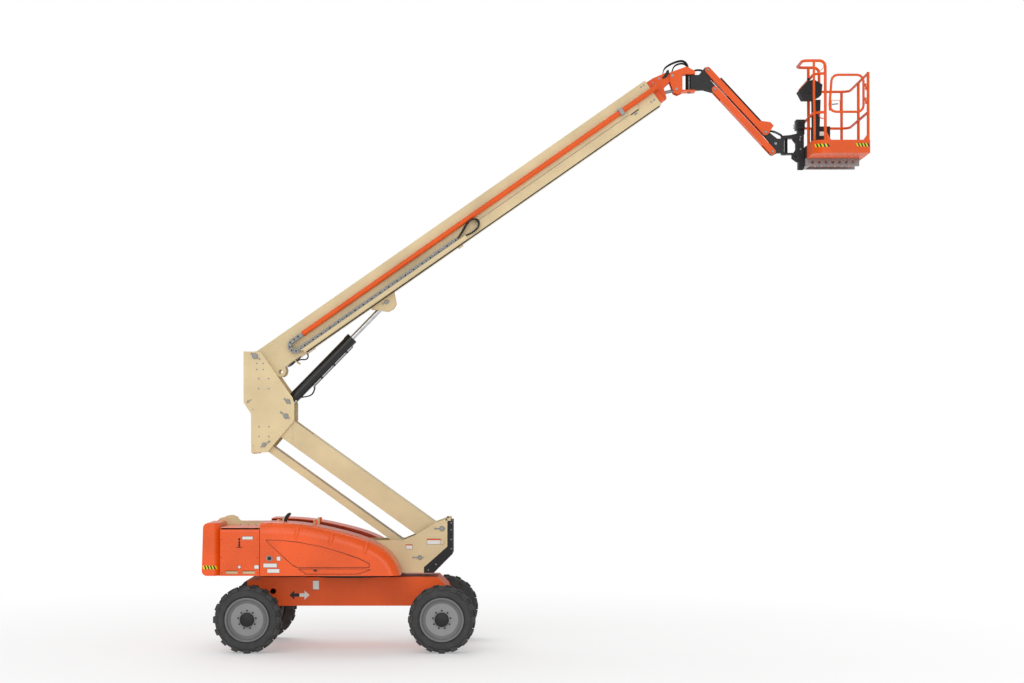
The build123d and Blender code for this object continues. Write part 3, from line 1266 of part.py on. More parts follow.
def platform_rails():
    """Guard rails: two rails round three sides, posts, and the raised hoop by the console."""
    r = RAIL_RADIUS
    x_in = ROTATOR_X + PLATFORM_INNER + KICK_THICK + POST_RADIUS
    x_out = ROTATOR_X + PLATFORM_OUTER - KICK_THICK - POST_RADIUS
    y_end = PLATFORM_HALF_LENGTH - KICK_THICK - POST_RADIUS
    z0 = FLOOR_Z + KICK_HEIGHT
    top = FLOOR_Z + TOP_RAIL
    mid = FLOOR_Z + MID_RAIL
    hoop = FLOOR_Z + HOOP_TOP
    x_post = ROTATOR_X + 478
    y_hoop = -254
    solid = Part()
    for z in (mid, top):
        solid += tube_path([(x_post, -y_end, z), (x_in, -y_end, z), (x_in, 0, z)], r, INNER_BEND)
        solid += tube_path([(x_in, 0, z), (x_in, y_end, z), (x_post, y_end, z)], r, INNER_BEND)
        solid += tube_path([(x_post, y_end, z), (x_out, y_end, z), (x_out, -y_end, z)], r, OUTER_BEND)
    posts = (
        # X, Y, top of the post
        (x_out, -y_end, top + r), (x_out, 0, top), (ROTATOR_X + 993 - r, y_end, top),
        (x_post, y_end, top), (x_in, y_hoop, hoop),
    )
    for x, y, z in posts:
        solid += upright_pin(x, y, POST_RADIUS, z0 - 20, z)
    for height in GATE_HINGE_HEIGHTS:
        solid += gate_knuckle(x_out, ROTATOR_X + GATE_HINGE, -y_end, FLOOR_Z + height - GATE_BARREL_HEIGHT)
    solid += tube_path([(x_post, -y_end, z0 - 20), (x_post, -y_end, hoop), (ROTATOR_X + 156, -y_end, hoop),
                        (ROTATOR_X + 156, y_hoop, hoop), (x_post, y_hoop, hoop),
                        (x_post, y_hoop, top - 100)], POST_RADIUS, 80)
    around = PLATFORM_CORNER - KICK_THICK - POST_RADIUS
    foot_x = ROTATOR_X + PLATFORM_INNER + PLATFORM_CORNER - around * math.cos(math.radians(25))
    foot_y = -PLATFORM_HALF_LENGTH + PLATFORM_CORNER - around * math.sin(math.radians(25))
    solid += tube_path([(foot_x, foot_y, z0 - 20), (foot_x, foot_y, z0 + 300),
                        (foot_x - 20, -y_end, z0 + 640), (foot_x - 20, -y_end, hoop)], r - 1.5, 120)
    return solid


def platform_gate():
    """Swing gate in the near end, hinged on the corner post."""
    r = RAIL_RADIUS - 2
    y = -PLATFORM_HALF_LENGTH + KICK_THICK + POST_RADIUS
    low = FLOOR_Z + GATE_BOTTOM
    high = FLOOR_Z + TOP_RAIL - 20
    x_a = ROTATOR_X + GATE_LEFT
    x_b = ROTATOR_X + GATE_RIGHT
    x_mid = (x_a + x_b) / 2
    solid = tube_path([(x_mid, y, low), (x_a, y, low), (x_a + 40, y, high), (x_mid, y, high)], r, 90)
    solid += tube_path([(x_mid, y, high), (x_b, y, high), (x_b, y, low), (x_mid, y, low)], r, 90)
    for height in GATE_HINGE_HEIGHTS:
        z = FLOOR_Z + height
        solid += gate_knuckle(x_b, ROTATOR_X + GATE_HINGE, y, z + RUN_GAP)
    return solid


def console():
    """Control box on its pedestal inside the raised hoop."""
    x0 = ROTATOR_X + 200
    z0 = FLOOR_Z + 820
    outline = [
        (x0 - 60, z0 + 120), (x0 + 60, z0 + 250), (x0 + 160, z0 + 285), (x0 + 285, z0 + 210),
        (x0 + 270, z0 + 60), (x0 + 160, z0), (x0 + 5, z0),
    ]
    solid = side_profile(outline, -560, -300)
    foot_low = FLOOR_Z + FLOOR_THICK
    foot = [(x0 + 145, z0), (x0 + 270, z0), (x0 + 240, foot_low), (x0 + 155, foot_low)]
    return solid + side_profile(foot, -480, -380)


def build_all():
    place_wheels()
    keep("chassis_frame", chassis_frame())
    keep("swing_bearing", swing_bearing())
    keep("steer_axle", steer_axle())
    keep("drive_axle", drive_axle())
    keep("knuckle_near", knuckle(-1))
    keep("knuckle_far", knuckle(1))
    keep("tie_rod", tie_rod())
    keep("swing_ring", swing_ring())
    keep("turntable_frame", turntable_frame())
    keep("turntable_pins", turntable_pins())
    keep("edge_guard", edge_guard())
    keep("counterweight", counterweight())
    keep("side_cover_near", side_cover(-1))
    keep("side_cover_far", side_cover(1))
    keep("hood_near", hood(-1))
    keep("hood_far", hood(1))
    keep("engine_block", engine_block())
    keep("hydraulic_tank", tank())
    keep("tower_arm", tower_arm())
    keep("tower_link", tower_link())
    foot, rod = tower_cylinder()
    keep("tower_cylinder_barrel", foot)
    keep("tower_cylinder_rod", rod)
    keep("upright", upright())
    keep("upright_pins", upright_pins())
    keep("boom_base", boom_base())
    keep("boom_pads", boom_pads())
    keep("hose_tray", hose_tray())
    keep("cable_chain", cable_chain())
    keep("guide_clamps", guide_clamp() + boom_pin())
    foot, rod = lift_cylinder()
    keep("lift_cylinder_barrel", foot)
    keep("lift_cylinder_rod", rod)
    keep("boom_fly", boom_fly())
    keep("fly_pads", fly_pads())
    keep("fly_nose", fly_nose())
    keep("push_tube", push_tube())
    keep("level_rod", level_rod())
    keep("level_bracket", level_bracket())
    keep("bracket_pins", bracket_pins())
    keep("jib_base", jib_base() + jib_pins(JIB_TOP_A, JIB_LOW_A))
    keep("jib_upper_arm", jib_arm(JIB_TOP_FRAME, True))
    keep("jib_lower_arm", jib_arm(JIB_LOW_FRAME, False))
    keep("jib_end", jib_end() + jib_pins(JIB_TOP_B, JIB_LOW_B))
    keep("platform_support", platform_support())
    keep("rotator_pin", rotator_pin())
    keep("support_beams", support_beams())
    keep("platform_floor", platform_floor())
    keep("kick_plate", kick_plate())
    keep("platform_rails", platform_rails())
    keep("platform_gate", platform_gate())
    keep("console", console())


build_all()
for node, shape in NODES.items():
    export_step(shape, "parts/" + node + ".step")
print(len(NODES), "nodes")
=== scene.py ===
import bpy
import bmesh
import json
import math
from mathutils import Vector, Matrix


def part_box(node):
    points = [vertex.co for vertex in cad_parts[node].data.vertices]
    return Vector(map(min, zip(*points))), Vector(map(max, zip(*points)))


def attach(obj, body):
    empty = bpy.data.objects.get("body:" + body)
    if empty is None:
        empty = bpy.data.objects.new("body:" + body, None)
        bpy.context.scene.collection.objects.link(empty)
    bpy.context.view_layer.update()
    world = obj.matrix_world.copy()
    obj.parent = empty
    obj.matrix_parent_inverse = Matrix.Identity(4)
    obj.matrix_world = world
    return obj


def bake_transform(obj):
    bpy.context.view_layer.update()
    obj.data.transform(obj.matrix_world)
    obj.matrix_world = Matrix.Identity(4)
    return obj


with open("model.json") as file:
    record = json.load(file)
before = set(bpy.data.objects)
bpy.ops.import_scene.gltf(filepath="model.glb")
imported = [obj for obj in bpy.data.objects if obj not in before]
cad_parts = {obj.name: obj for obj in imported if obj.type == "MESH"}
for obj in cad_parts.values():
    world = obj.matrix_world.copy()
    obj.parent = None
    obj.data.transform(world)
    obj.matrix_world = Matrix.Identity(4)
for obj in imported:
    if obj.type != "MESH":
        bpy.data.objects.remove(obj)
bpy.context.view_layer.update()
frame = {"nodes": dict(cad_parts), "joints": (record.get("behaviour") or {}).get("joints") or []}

# %% [markdown]
# An articulating boom lift carries two people on a small platform. Its parts are already here: the
# line above brought in every solid of the machine. What is left is how it looks, so this file
# makes the paints, the rubber, the hoses, the bolts and the light.
# The scene is in metres, with +X towards the platform, +Z up and the near side at -Y. Small details
# are drawn in millimetres and scaled.

nodes = frame["nodes"]

# %% [markdown]
# The photographer stood far back on the near side, so the machine shows almost flat. A long lens
# does that: 78 mm on a 36 mm sensor from 32 m away. The camera is 3.3 m above the ground and looks
# up by less than one degree, and a small lens shift puts the machine where it stands in the frame.

# %% Set up the camera
LENS_MM = 77.94
SENSOR_MM = 36
LENS_SHIFT = 0.0423
CAMERA_PLACE = (2.358, -32.4, 3.284)
CAMERA_TILT_DEG = 90.91

def place_in_scene(name, data):
    """An object made from a camera, a lamp or a mesh, and linked to the scene."""
    thing = bpy.data.objects.new(name, data)
    bpy.context.scene.collection.objects.link(thing)
    return thing

camera_data = bpy.data.cameras.new("side_camera")
camera_data.lens = LENS_MM
camera_data.sensor_width = SENSOR_MM
camera_data.shift_y = LENS_SHIFT
camera = place_in_scene("side_camera", camera_data)
camera.location = CAMERA_PLACE
camera.rotation_euler = (math.radians(CAMERA_TILT_DEG), 0, 0)
bpy.context.scene.camera = camera
print("camera", tuple(camera.location))

# %% [markdown]
# Studio light is mostly soft: a bright room all round fills every face, one wide lamp from above
# and in front makes top faces a little lighter than sides, a low one reaches under the covers, and
# the third lights the back. A sun lamp with a large angle is such a lamp: its shadows have broad
# soft edges, and it reaches a machine of any size.

# %% Light the room
WHITE = (1, 1, 1, 1)
ROOM_FILL = 0.47
ROOM_SEEN = 1.0
LAMPS = (
    # name, strength, angle and tilt in degrees
    ("front_top_lamp", 0.65, 50, (46, 0, -22)),
    ("low_front_lamp", 1.35, 60, (90, 0, 6)),
    ("rear_lamp", 1.2, 60, (-40, 0, 20)),
)

def set_inputs(node, values):
    """Give a node's inputs their values, by name."""
    for name, value in values.items():
        node.inputs[name].default_value = value

def add_node(tree, kind, values=None):
    """A node of one kind in a tree, with some input values."""
    node = tree.nodes.new("ShaderNode" + kind)
    set_inputs(node, values or {})
    return node

world = bpy.data.worlds.new("pale_room")
bpy.context.scene.world = world
world.use_nodes = True
room = world.node_tree
room.nodes.clear()
room_out = add_node(room, "OutputWorld")
room_rays = add_node(room, "LightPath")
room_mix = add_node(room, "MixShader")
room.links.new(room_rays.outputs["Is Camera Ray"], room_mix.inputs[0])
for index, strength in ((1, ROOM_FILL), (2, ROOM_SEEN)):
    glow = add_node(room, "Background", {"Color": WHITE, "Strength": strength})
    room.links.new(glow.outputs[0], room_mix.inputs[index])
room.links.new(room_mix.outputs[0], room_out.inputs[0])

for name, strength, angle, tilt in LAMPS:
    lamp = bpy.data.lights.new(name, "SUN")
    lamp.energy = strength
    lamp.angle = math.radians(angle)
    place_in_scene(name, lamp).rotation_euler = [math.radians(t) for t in tilt]
bpy.context.scene.view_settings.view_transform = "Standard"

# %% [markdown]
# Colours are easiest to name as a painter's card does, with numbers from 0 to 255, but shaders count
# light, which grows faster than those numbers. A short function turns one into the other.

# %% Turn card colours into light
def card(red, green, blue):
    """A colour from 0 to 255 as the linear colour that a shader wants."""
    def linear(value):
        share = value / 255
        return share / 12.92 if share <= 0.04045 else ((share + 0.055) / 1.055) ** 2.4
    return (linear(red), linear(green), linear(blue), 1.0)

print("orange as light", [round(c, 3) for c in card(238, 92, 36)])

# %% [markdown]
# Sprayed paint is never one colour. It has a faint mottle, a fine orange-peel ripple and some dust
# where it lies flat. One function builds all of that from noise, so the sand, orange and black
# paints differ only in the numbers they are given. The dust follows the normal's up part, which is
# the same from every camera.

# %% A function for sprayed paint
CLOUD_SCALE = 1.7
GRIT_SCALE = 34
PEEL_SCALE = 420
PEEL_DEPTH = 0.0006
DUST_COLOUR = card(196, 186, 168)

def new_finish(name):
    """A material, its node tree with only a shader and an output, and the shader."""
    finish = bpy.data.materials.new(name)
    finish.use_nodes = True
    tree = finish.node_tree
    tree.nodes.clear()
    out = add_node(tree, "OutputMaterial")
    shader = add_node(tree, "BsdfPrincipled")
    tree.links.new(shader.outputs[0], out.inputs[0])
    return finish, tree, shader

def noise(tree, where, scale, detail):
    """A noise pattern fixed to the object's own space."""
    pattern = add_node(tree, "TexNoise", {"Scale": scale, "Detail": detail})
    tree.links.new(where.outputs["Object"], pattern.inputs["Vector"])
    return pattern.outputs["Fac"]

def span(tree, source, low, high, out_low, out_high):
    """Stretch a value from one range to another."""
    reach = add_node(tree, "MapRange", {
        "From Min": low, "From Max": high, "To Min": out_low, "To Max": out_high})
    tree.links.new(source, reach.inputs["Value"])
    return reach.outputs["Result"]

def scaled(colour, factor, lift=0):
    """A darker or lighter shade of a colour."""
    return tuple(min(1, c * factor + lift) for c in colour[:3]) + (1.0,)

def blend_colours(tree, factor, first, second):
    """Mix two colours by a factor; either may be a colour or a socket."""
    mix = add_node(tree, "Mix")
    mix.data_type = "RGBA"
    tree.links.new(factor, mix.inputs["Factor"])
    for socket, colour in ((mix.inputs[6], first), (mix.inputs[7], second)):
        if isinstance(colour, tuple):
            socket.default_value = colour
        else:
            tree.links.new(colour, socket)
    return mix.outputs[2]

def ripple_into(tree, shader, pattern, strength, distance):
    """Let a pattern tilt the surface as fine bumps do."""
    bump = add_node(tree, "Bump", {"Strength": strength, "Distance": distance})
    tree.links.new(pattern, bump.inputs["Height"])
    tree.links.new(bump.outputs["Normal"], shader.inputs["Normal"])

def sprayed_paint(name, colour, roughness, gloss, dust=0.10, ripple=0.08):
    """Factory paint with mottle, orange peel and dust on flat tops."""
    finish, tree, shader = new_finish(name)
    where = add_node(tree, "TexCoord")
    cloud = noise(tree, where, CLOUD_SCALE, 4)
    mottled = blend_colours(tree, span(tree, cloud, 0.3, 0.7, 0, 1),
                            scaled(colour, 0.86), scaled(colour, 1.06, 0.004))
    surface = add_node(tree, "NewGeometry")
    direction = add_node(tree, "SeparateXYZ")
    tree.links.new(surface.outputs["Normal"], direction.inputs[0])
    grit = noise(tree, where, GRIT_SCALE, 6)
    lying = add_node(tree, "Math")
    lying.operation = "MULTIPLY"
    tree.links.new(span(tree, direction.outputs["Z"], 0.55, 1.0, 0, 1), lying.inputs[0])
    tree.links.new(span(tree, grit, 0.42, 0.68, 0, dust), lying.inputs[1])
    dusty = blend_colours(tree, lying.outputs[0], mottled, DUST_COLOUR)
    tree.links.new(dusty, shader.inputs["Base Color"])
    tree.links.new(span(tree, grit, 0.3, 0.7, roughness - 0.05, roughness + 0.08),
                   shader.inputs["Roughness"])
    ripple_into(tree, shader, noise(tree, where, PEEL_SCALE, 2), ripple, PEEL_DEPTH)
    set_inputs(shader, {"Coat Weight": gloss, "Coat Roughness": 0.12, "Specular IOR Level": 0.3})
    return finish

sand_paint = sprayed_paint("sand_paint", card(216, 195, 152), 0.42, 0.06)
lift_orange = sprayed_paint("lift_orange", card(226, 84, 4), 0.42, 0.04, dust=0.04)
black_paint = sprayed_paint("black_paint", card(26, 26, 27), 0.45, 0.04, dust=0.12)
cylinder_black = sprayed_paint("cylinder_black", card(12, 12, 13), 0.22, 0.35, dust=0.03)
wheel_grey = sprayed_paint("wheel_grey", card(112, 112, 113), 0.46, 0.06, dust=0.16)
print("paints", sand_paint.name, lift_orange.name, black_paint.name, wheel_grey.name)

# %% [markdown]
# The hoods are moulded plastic, not sprayed plate. Moulded plastic has colour all the way through, a
# smooth skin and broad soft highlights, so it gets a clearer coat and almost no ripple.

# %% The moulded covers
cover_orange = sprayed_paint("cover_orange", card(236, 86, 3), 0.28, 0.3, dust=0.02, ripple=0.03)
print("cover finish", cover_orange.name)

# %% [markdown]
# Metal that is not painted needs another recipe. Pins and bolts are plated steel: metallic, fairly
# rough, with small blotches. A cylinder rod is ground and chromed: metallic, paler and very smooth.

# %% Bare steel and chrome
def plain_metal(name, colour, rough_low, rough_high, scale):
    """Metal with darker and rougher blotches."""
    finish, tree, shader = new_finish(name)
    where = add_node(tree, "TexCoord")
    blotch = noise(tree, where, scale, 5)
    tone = blend_colours(tree, span(tree, blotch, 0.35, 0.7, 0, 1), scaled(colour, 0.72), colour)
    tree.links.new(tone, shader.inputs["Base Color"])
    tree.links.new(span(tree, blotch, 0.3, 0.7, rough_low, rough_high), shader.inputs["Roughness"])
    set_inputs(shader, {"Metallic": 1.0})
    return finish

plated_steel = plain_metal("plated_steel", card(146, 146, 146), 0.34, 0.52, 60)
chromed_rod = plain_metal("chromed_rod", card(205, 207, 210), 0.10, 0.2, 25)
print("metals", plated_steel.name, chromed_rod.name)

# %% [markdown]
# Tyre rubber is dark grey rather than black, rough, and dusty in patches that fade in with a noise.
# Hoses, black plastic boxes and the cable chain take the same recipe in other colours.

# %% Rubber and plastics
GRAIN_SCALE = 260
GRAIN_DEPTH = 0.001

def rubber(name, colour, scale):
    """A rough material with pale patches and a fine grain."""
    finish, tree, shader = new_finish(name)
    where = add_node(tree, "TexCoord")
    cloud = noise(tree, where, scale, 8)
    tone = blend_colours(tree, span(tree, cloud, 0.42, 0.75, 0, 0.7), colour, scaled(colour, 1.9, 0.006))
    tree.links.new(tone, shader.inputs["Base Color"])
    tree.links.new(span(tree, cloud, 0.3, 0.7, 0.72, 0.92), shader.inputs["Roughness"])
    ripple_into(tree, shader, noise(tree, where, GRAIN_SCALE, 3), 0.22, GRAIN_DEPTH)
    return finish

tyre_rubber = rubber("tyre_rubber", card(52, 52, 52), 9)
hose_rubber = rubber("hose_rubber", card(30, 30, 31), 30)
box_plastic = rubber("box_plastic", card(30, 30, 31), 40)
chain_plastic = rubber("chain_plastic", card(134, 134, 133), 40)
pad_plastic = rubber("pad_plastic", card(214, 208, 188), 40)
print("rubbers", tyre_rubber.name, hose_rubber.name)

# %% [markdown]
# Now each solid gets its finish. A table of finish and solids is easier to read and to change than
# fifty separate lines.

# %% Give each solid its finish
WHEELS = ("steer_near", "steer_far", "drive_near", "drive_far")
dressing = (
    # slot, finish and the solids that have both
    ("sand_paint", sand_paint, [
        "turntable_frame", "tower_arm", "tower_link", "upright", "boom_base", "hose_tray"]),
    ("lift_orange", lift_orange, [
        "chassis_frame", "boom_fly", "fly_nose", "push_tube", "level_bracket", "jib_upper_arm",
        "jib_lower_arm", "platform_floor", "kick_plate", "platform_rails", "platform_gate"]),
    ("cover_orange", cover_orange, ["side_cover_near", "side_cover_far", "hood_near", "hood_far"]),
    ("cast_weight", cover_orange, ["counterweight"]),
    ("black_paint", black_paint, [
        "steer_axle", "drive_axle", "knuckle_near", "knuckle_far", "swing_ring", "jib_base", "jib_end",
        "platform_support"]),
    ("bare_steel", plated_steel, [
        "tie_rod", "turntable_pins", "upright_pins", "guide_clamps", "level_rod", "bracket_pins",
        "rotator_pin", "support_beams"]),
    ("bare_steel", black_paint, ["swing_bearing"]),
    ("black_paint", cylinder_black, ["tower_cylinder_barrel", "lift_cylinder_barrel"]),
    ("chrome_rod", chromed_rod, ["tower_cylinder_rod", "lift_cylinder_rod"]),
    ("wheel_grey", wheel_grey, ["rim_" + w for w in WHEELS]),
    ("tyre_rubber", tyre_rubber, ["tyre_" + w for w in WHEELS]),
    ("chain_grey", chain_plastic, ["cable_chain"]),
    ("pad_plastic", pad_plastic, ["boom_pads", "fly_pads"]),
    ("box_black", box_plastic, ["edge_guard", "hydraulic_tank", "console"]),
    ("engine_grey", plated_steel, ["engine_block"]),
)
dressed = []
for slot_name, finish, members in dressing:
    for member in members:
        solid = nodes[member]
        solid.data.materials.clear()
        solid.data.materials.append(finish)
        dressed.append(member)
print("dressed", len(dressed), "not dressed", sorted(set(nodes) - set(dressed)))

# %% [markdown]
# The small pieces that are bolted, clipped or stuck on carry no load, so they are modelled here and
# not with the solids. All of them are built the same way: a mesh is filled with boxes, bars, plates
# and bolts, drawn in millimetres, and one function turns it into an object that rides on a body.
# Many small shapes in one mesh keep the scene light. A frame laid along a member, such as the boom,
# lets its details be placed by how far along it they are.

# %% Helpers that fill a mesh
MM = 0.001
WORLD = Matrix.Identity(4)
SIDES = ((-1, "near"), (1, "far"))
SMALL_SLOTS = {
    # the slot of each finish on a small piece; signs that are not black have none
    "sand_paint": "sand_paint", "lift_orange": "lift_orange", "cover_orange": "cover_orange",
    "black_paint": "black_paint", "stripe_black": "black_paint", "plated_steel": "bare_steel",
    "box_plastic": "box_black", "hose_rubber": "tyre_rubber", "chain_plastic": "chain_grey",
    "wheel_grey": "wheel_grey", "disc_grey": "wheel_grey",
}

def member_frame(origin, along):
    """A frame in the machine's middle plane: X runs along a member and Y is the machine's own."""
    forward = Vector((along[0], 0, along[2])).normalized()
    side = Vector((0, 1, 0))
    place = Matrix((forward, side, forward.cross(side))).transposed().to_4x4()
    place.translation = Vector(origin)
    return place

def mesh_piece(name, shape, finish, body, place=WORLD, smooth=35, slot_name=None):
    """Turn a mesh drawn in millimetres into an object that rides on a body."""
    bmesh.ops.recalc_face_normals(shape, faces=shape.faces)
    shape.transform(place @ Matrix.Scale(MM, 4))
    mesh = bpy.data.meshes.new(name)
    shape.to_mesh(mesh)
    shape.free()
    mesh.materials.append(finish)
    mesh.shade_smooth()
    mesh.set_sharp_from_angle(angle=math.radians(smooth))
    piece = place_in_scene(name, mesh)
    # Blender adds a number to a finish whose name is taken, such as black_paint.001.
    slot_name = slot_name or SMALL_SLOTS.get(finish.name.split(".")[0])
    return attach(piece, body)

def box_into(shape, low, high):
    """A box between two corners."""
    size = [b - a for a, b in zip(low, high)]
    middle = [(a + b) / 2 for a, b in zip(low, high)]
    bmesh.ops.create_cube(shape, size=1, matrix=Matrix.Translation(middle) @ Matrix.Diagonal((*size, 1)))

def box_piece(name, corners, finish, body, place=WORLD):
    """A piece made only of boxes, each given by two corners."""
    shape = bmesh.new()
    for low, high in corners:
        box_into(shape, low, high)
    mesh_piece(name, shape, finish, body, place)

def bar_into(shape, start, end, radius, sides=16, end_radius=None):
    """A round bar or cone between two points."""
    start = Vector(start)
    run = Vector(end) - start
    turn = run.to_track_quat("Z", "Y").to_matrix().to_4x4()
    bmesh.ops.create_cone(shape, cap_ends=True, segments=sides, radius1=radius, depth=run.length,
                          radius2=radius if end_radius is None else end_radius,
                          matrix=Matrix.Translation(start + run / 2) @ turn)

def plate_into(shape, outline, y_low, y_high):
    """A flat outline in X and Z, thick from one Y to the other."""
    near = [shape.verts.new((x, y_low, z)) for x, z in outline]
    far = [shape.verts.new((x, y_high, z)) for x, z in outline]
    shape.faces.new(near)
    shape.faces.new(far[::-1])
    for index in range(len(outline)):
        after = (index + 1) % len(outline)
        shape.faces.new((near[index], far[index], far[after], near[after]))

def wire_into(shape, points, y, radius, sides):
    """Round bars at one Y that join points of X and Z, one after another."""
    for (x, z), (x_next, z_next) in zip(points, points[1:]):
        bar_into(shape, (x, y, z), (x_next, y, z_next), radius, sides)

def stub_into(shape, x, z, y_start, y_end, radius, sides=16, end_radius=None):
    """A round bar or cone that stands across the machine at one X and Z."""
    bar_into(shape, (x, y_start, z), (x, y_end, z), radius, sides, end_radius)

def bolt_into(shape, at, outward, radius):
    """A washer and a six-sided head that stand out from a surface."""
    at = Vector(at)
    outward = Vector(outward)
    bar_into(shape, at, at + outward * radius * 0.3, radius * 1.6)
    bar_into(shape, at, at + outward * radius, radius, 6)

def bolts_into(shape, spots, y, radius):
    """Bolts at each X and Z of a flat side at Y; they stand out from the machine."""
    for x, z in spots:
        bolt_into(shape, (x, y, z), (0, math.copysign(1, y), 0), radius)

def skin_at(name, x, z, side=-1):
    """Y in millimetres where a solid's skin is met by a line from one side at X and Z."""
    solid = nodes[name]
    back = solid.matrix_world.inverted()
    start = back @ Vector((x * MM, side * 3, z * MM))
    way = (back.to_3x3() @ Vector((0, -side, 0))).normalized()
    met, place = solid.ray_cast(start, way)[:2]
    return (solid.matrix_world @ place).y / MM if met else None

joint_at = {j["name"]: Vector(j["pos_m"]) for j in frame["joints"] if j.get("pos_m")}
joint_axis = {j["name"]: Vector(j["axis"]) for j in frame["joints"]}
boom_frame = member_frame(joint_at["boom_lift"], joint_axis["telescope"])
print("helpers ready;", len(joint_at), "joint centres; boom slope",
      round(math.degrees(math.asin(joint_axis["telescope"].z)), 2))

# %% [markdown]
# Wheels come first. Each has a pale disc with three pressed rings, nine studs round the hub and a
# dark hub cap. The rim's own box says where its outer face is, so the four wheels share one loop
# and only the side changes.

# %% Dress the wheels
HUB_CAP_RADIUS = 101
HUB_CAP_PROUD = 36
STUD_CIRCLE = 126
STUD_COUNT = 9
RING_RADII = (236, 260, 284)
RING_STEP = 4
RING_PROUD = 6
DISC_SETBACK = 55
DISC_PROUD = 2
disc_grey = sprayed_paint("disc_grey", card(142, 142, 143), 0.45, 0.06, dust=0.12)

for wheel in WHEELS:
    low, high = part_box("rim_" + wheel)
    side = -1 if wheel.endswith("near") else 1
    centre = (low + high) / 2 / MM
    face = (low.y if side < 0 else high.y) / MM - side * DISC_SETBACK
    crown = face + side * HUB_CAP_PROUD
    hub = bmesh.new()
    stub_into(hub, centre.x, centre.z, face - side * 6, crown, HUB_CAP_RADIUS, 48)
    stub_into(hub, centre.x, centre.z, crown, crown + side * 8, HUB_CAP_RADIUS - 5, 48,
              HUB_CAP_RADIUS - 22)
    mesh_piece("hub_cap_" + wheel, hub, black_paint, "wheel_" + wheel)
    disc = bmesh.new()
    stub_into(disc, centre.x, centre.z, face - side * 3, face + side * DISC_PROUD, RING_RADII[0] - 4, 64)
    mesh_piece("wheel_disc_" + wheel, disc, disc_grey, "wheel_" + wheel)
    studs = bmesh.new()
    for index in range(STUD_COUNT):
        turn = math.tau * index / STUD_COUNT + math.pi / 2
        at = (centre.x + STUD_CIRCLE * math.cos(turn), face + side * DISC_PROUD,
              centre.z + STUD_CIRCLE * math.sin(turn))
        bolt_into(studs, at, (0, side, 0), 8)
    mesh_piece("wheel_studs_" + wheel, studs, black_paint, "wheel_" + wheel)
    rings = bmesh.new()
    for radius in RING_RADII:
        ring = bmesh.ops.create_circle(rings, segments=64, radius=radius, matrix=Matrix.Translation(
            (centre.x, face, centre.z)) @ Matrix.Rotation(math.pi / 2, 4, "X"))["verts"]
        edges = list({edge for corner in ring for edge in corner.link_edges})
        for rise in (RING_PROUD, -RING_PROUD):
            grown = bmesh.ops.extrude_edge_only(rings, edges=edges)["geom"]
            for corner in [part for part in grown if isinstance(part, bmesh.types.BMVert)]:
                out = Vector((corner.co.x - centre.x, 0, corner.co.z - centre.z)).normalized()
                corner.co += out * RING_STEP + Vector((0, side * rise, 0))
            edges = [part for part in grown if isinstance(part, bmesh.types.BMEdge)]
    mesh_piece("rim_rings_" + wheel, rings, wheel_grey, "wheel_" + wheel, smooth=60)
print("wheels dressed", len(WHEELS), "studs", STUD_COUNT * len(WHEELS))

# %% [markdown]
# Every large pin is kept from turning and sliding out by a keeper: a flat bar across the pin's end,
# held by one bolt in the plate beside it. A short table gives each pin's centre, the steps from there
# to the bolt and to the bar's free end, and the pin's radius. Both sides' pins are kept alike.

# %% Keep the pins
KEEPER_GAP = 4
KEEPER_THICK = 6
KEEPER_HALF_WIDTH = 8

def keeper_into(shape, centre, bolt_step, tip_step, pin_radius, face, side):
    """A domed pin end, its keeper bar and the keeper's bolt."""
    x = centre.x
    z = centre.z
    along = Vector((bolt_step[0] - tip_step[0], 0, bolt_step[1] - tip_step[1]))
    across = Vector((-along.z, 0, along.x)).normalized() * KEEPER_HALF_WIDTH
    start = Vector((x + tip_step[0], 0, z + tip_step[1]))
    end = Vector((x + bolt_step[0], 0, z + bolt_step[1]))
    corners = [(p.x, p.z) for p in (start - across, end - across, end + across, start + across)]
    inner = side * (face + KEEPER_GAP)
    outer = side * (face + KEEPER_GAP + KEEPER_THICK)
    plate_into(shape, corners, min(inner, outer), max(inner, outer))
    stub_into(shape, end.x, end.z, side * face, inner, 15)
    bolt_into(shape, (end.x, outer, end.z), (0, side, 0), 8)
    stub_into(shape, x, z, side * (face + 8), side * (face + 18), pin_radius + 3, 32, pin_radius - 3)

UPRIGHT_FACE = 306
PLATE_FACE = 352
cylinder_foot = joint_at["upright_level"] + Vector((0.028, 0, 0.215))
link_end = joint_at["upright_level"] + Vector((-0.319, 0, -0.415))
upright_frame_pins = (
    # centre in metres, bolt step, tip step, pin radius
    (joint_at["boom_lift"], (-50, 36), (75, -49), 38),
    (joint_at["upright_level"], (-72, 54), (52, -36), 34),
    (cylinder_foot, (-48, 32), (43, -35), 30),
    (link_end, (78, 48), (-48, -36), 28),
)
for side, name in SIDES:
    keepers = bmesh.new()
    for centre, bolt_step, tip_step, radius in upright_frame_pins:
        keeper_into(keepers, centre / MM, bolt_step, tip_step, radius, UPRIGHT_FACE, side)
    mesh_piece("upright_keepers_" + name, keepers, plated_steel, "upright")
    keepers = bmesh.new()
    keeper_into(keepers, joint_at["tower_lift"] / MM, (-98, 0), (46, 0), 34, PLATE_FACE, side)
    keeper_into(keepers, joint_at["tower_link_hinge"] / MM, (-95, 0), (60, 0), 28, PLATE_FACE, side)
    mesh_piece("turntable_keepers_" + name, keepers, plated_steel, "turntable")
    cap = bmesh.new()
    foot = joint_at["tower_barrel_hinge"] / MM
    stub_into(cap, foot.x, foot.z, side * PLATE_FACE, side * (PLATE_FACE + 17), 32, 32, 29)
    mesh_piece("cylinder_pin_cap_" + name, cap, sand_paint, "turntable")
print("keepers", 2 * (len(upright_frame_pins) + 2))

# %% [markdown]
# The upright's side plates carry groups of four small bolts that hold the guides inside. The plates
# also have a few plain spots, such as a grease point, and two stop tabs under the lower edge.

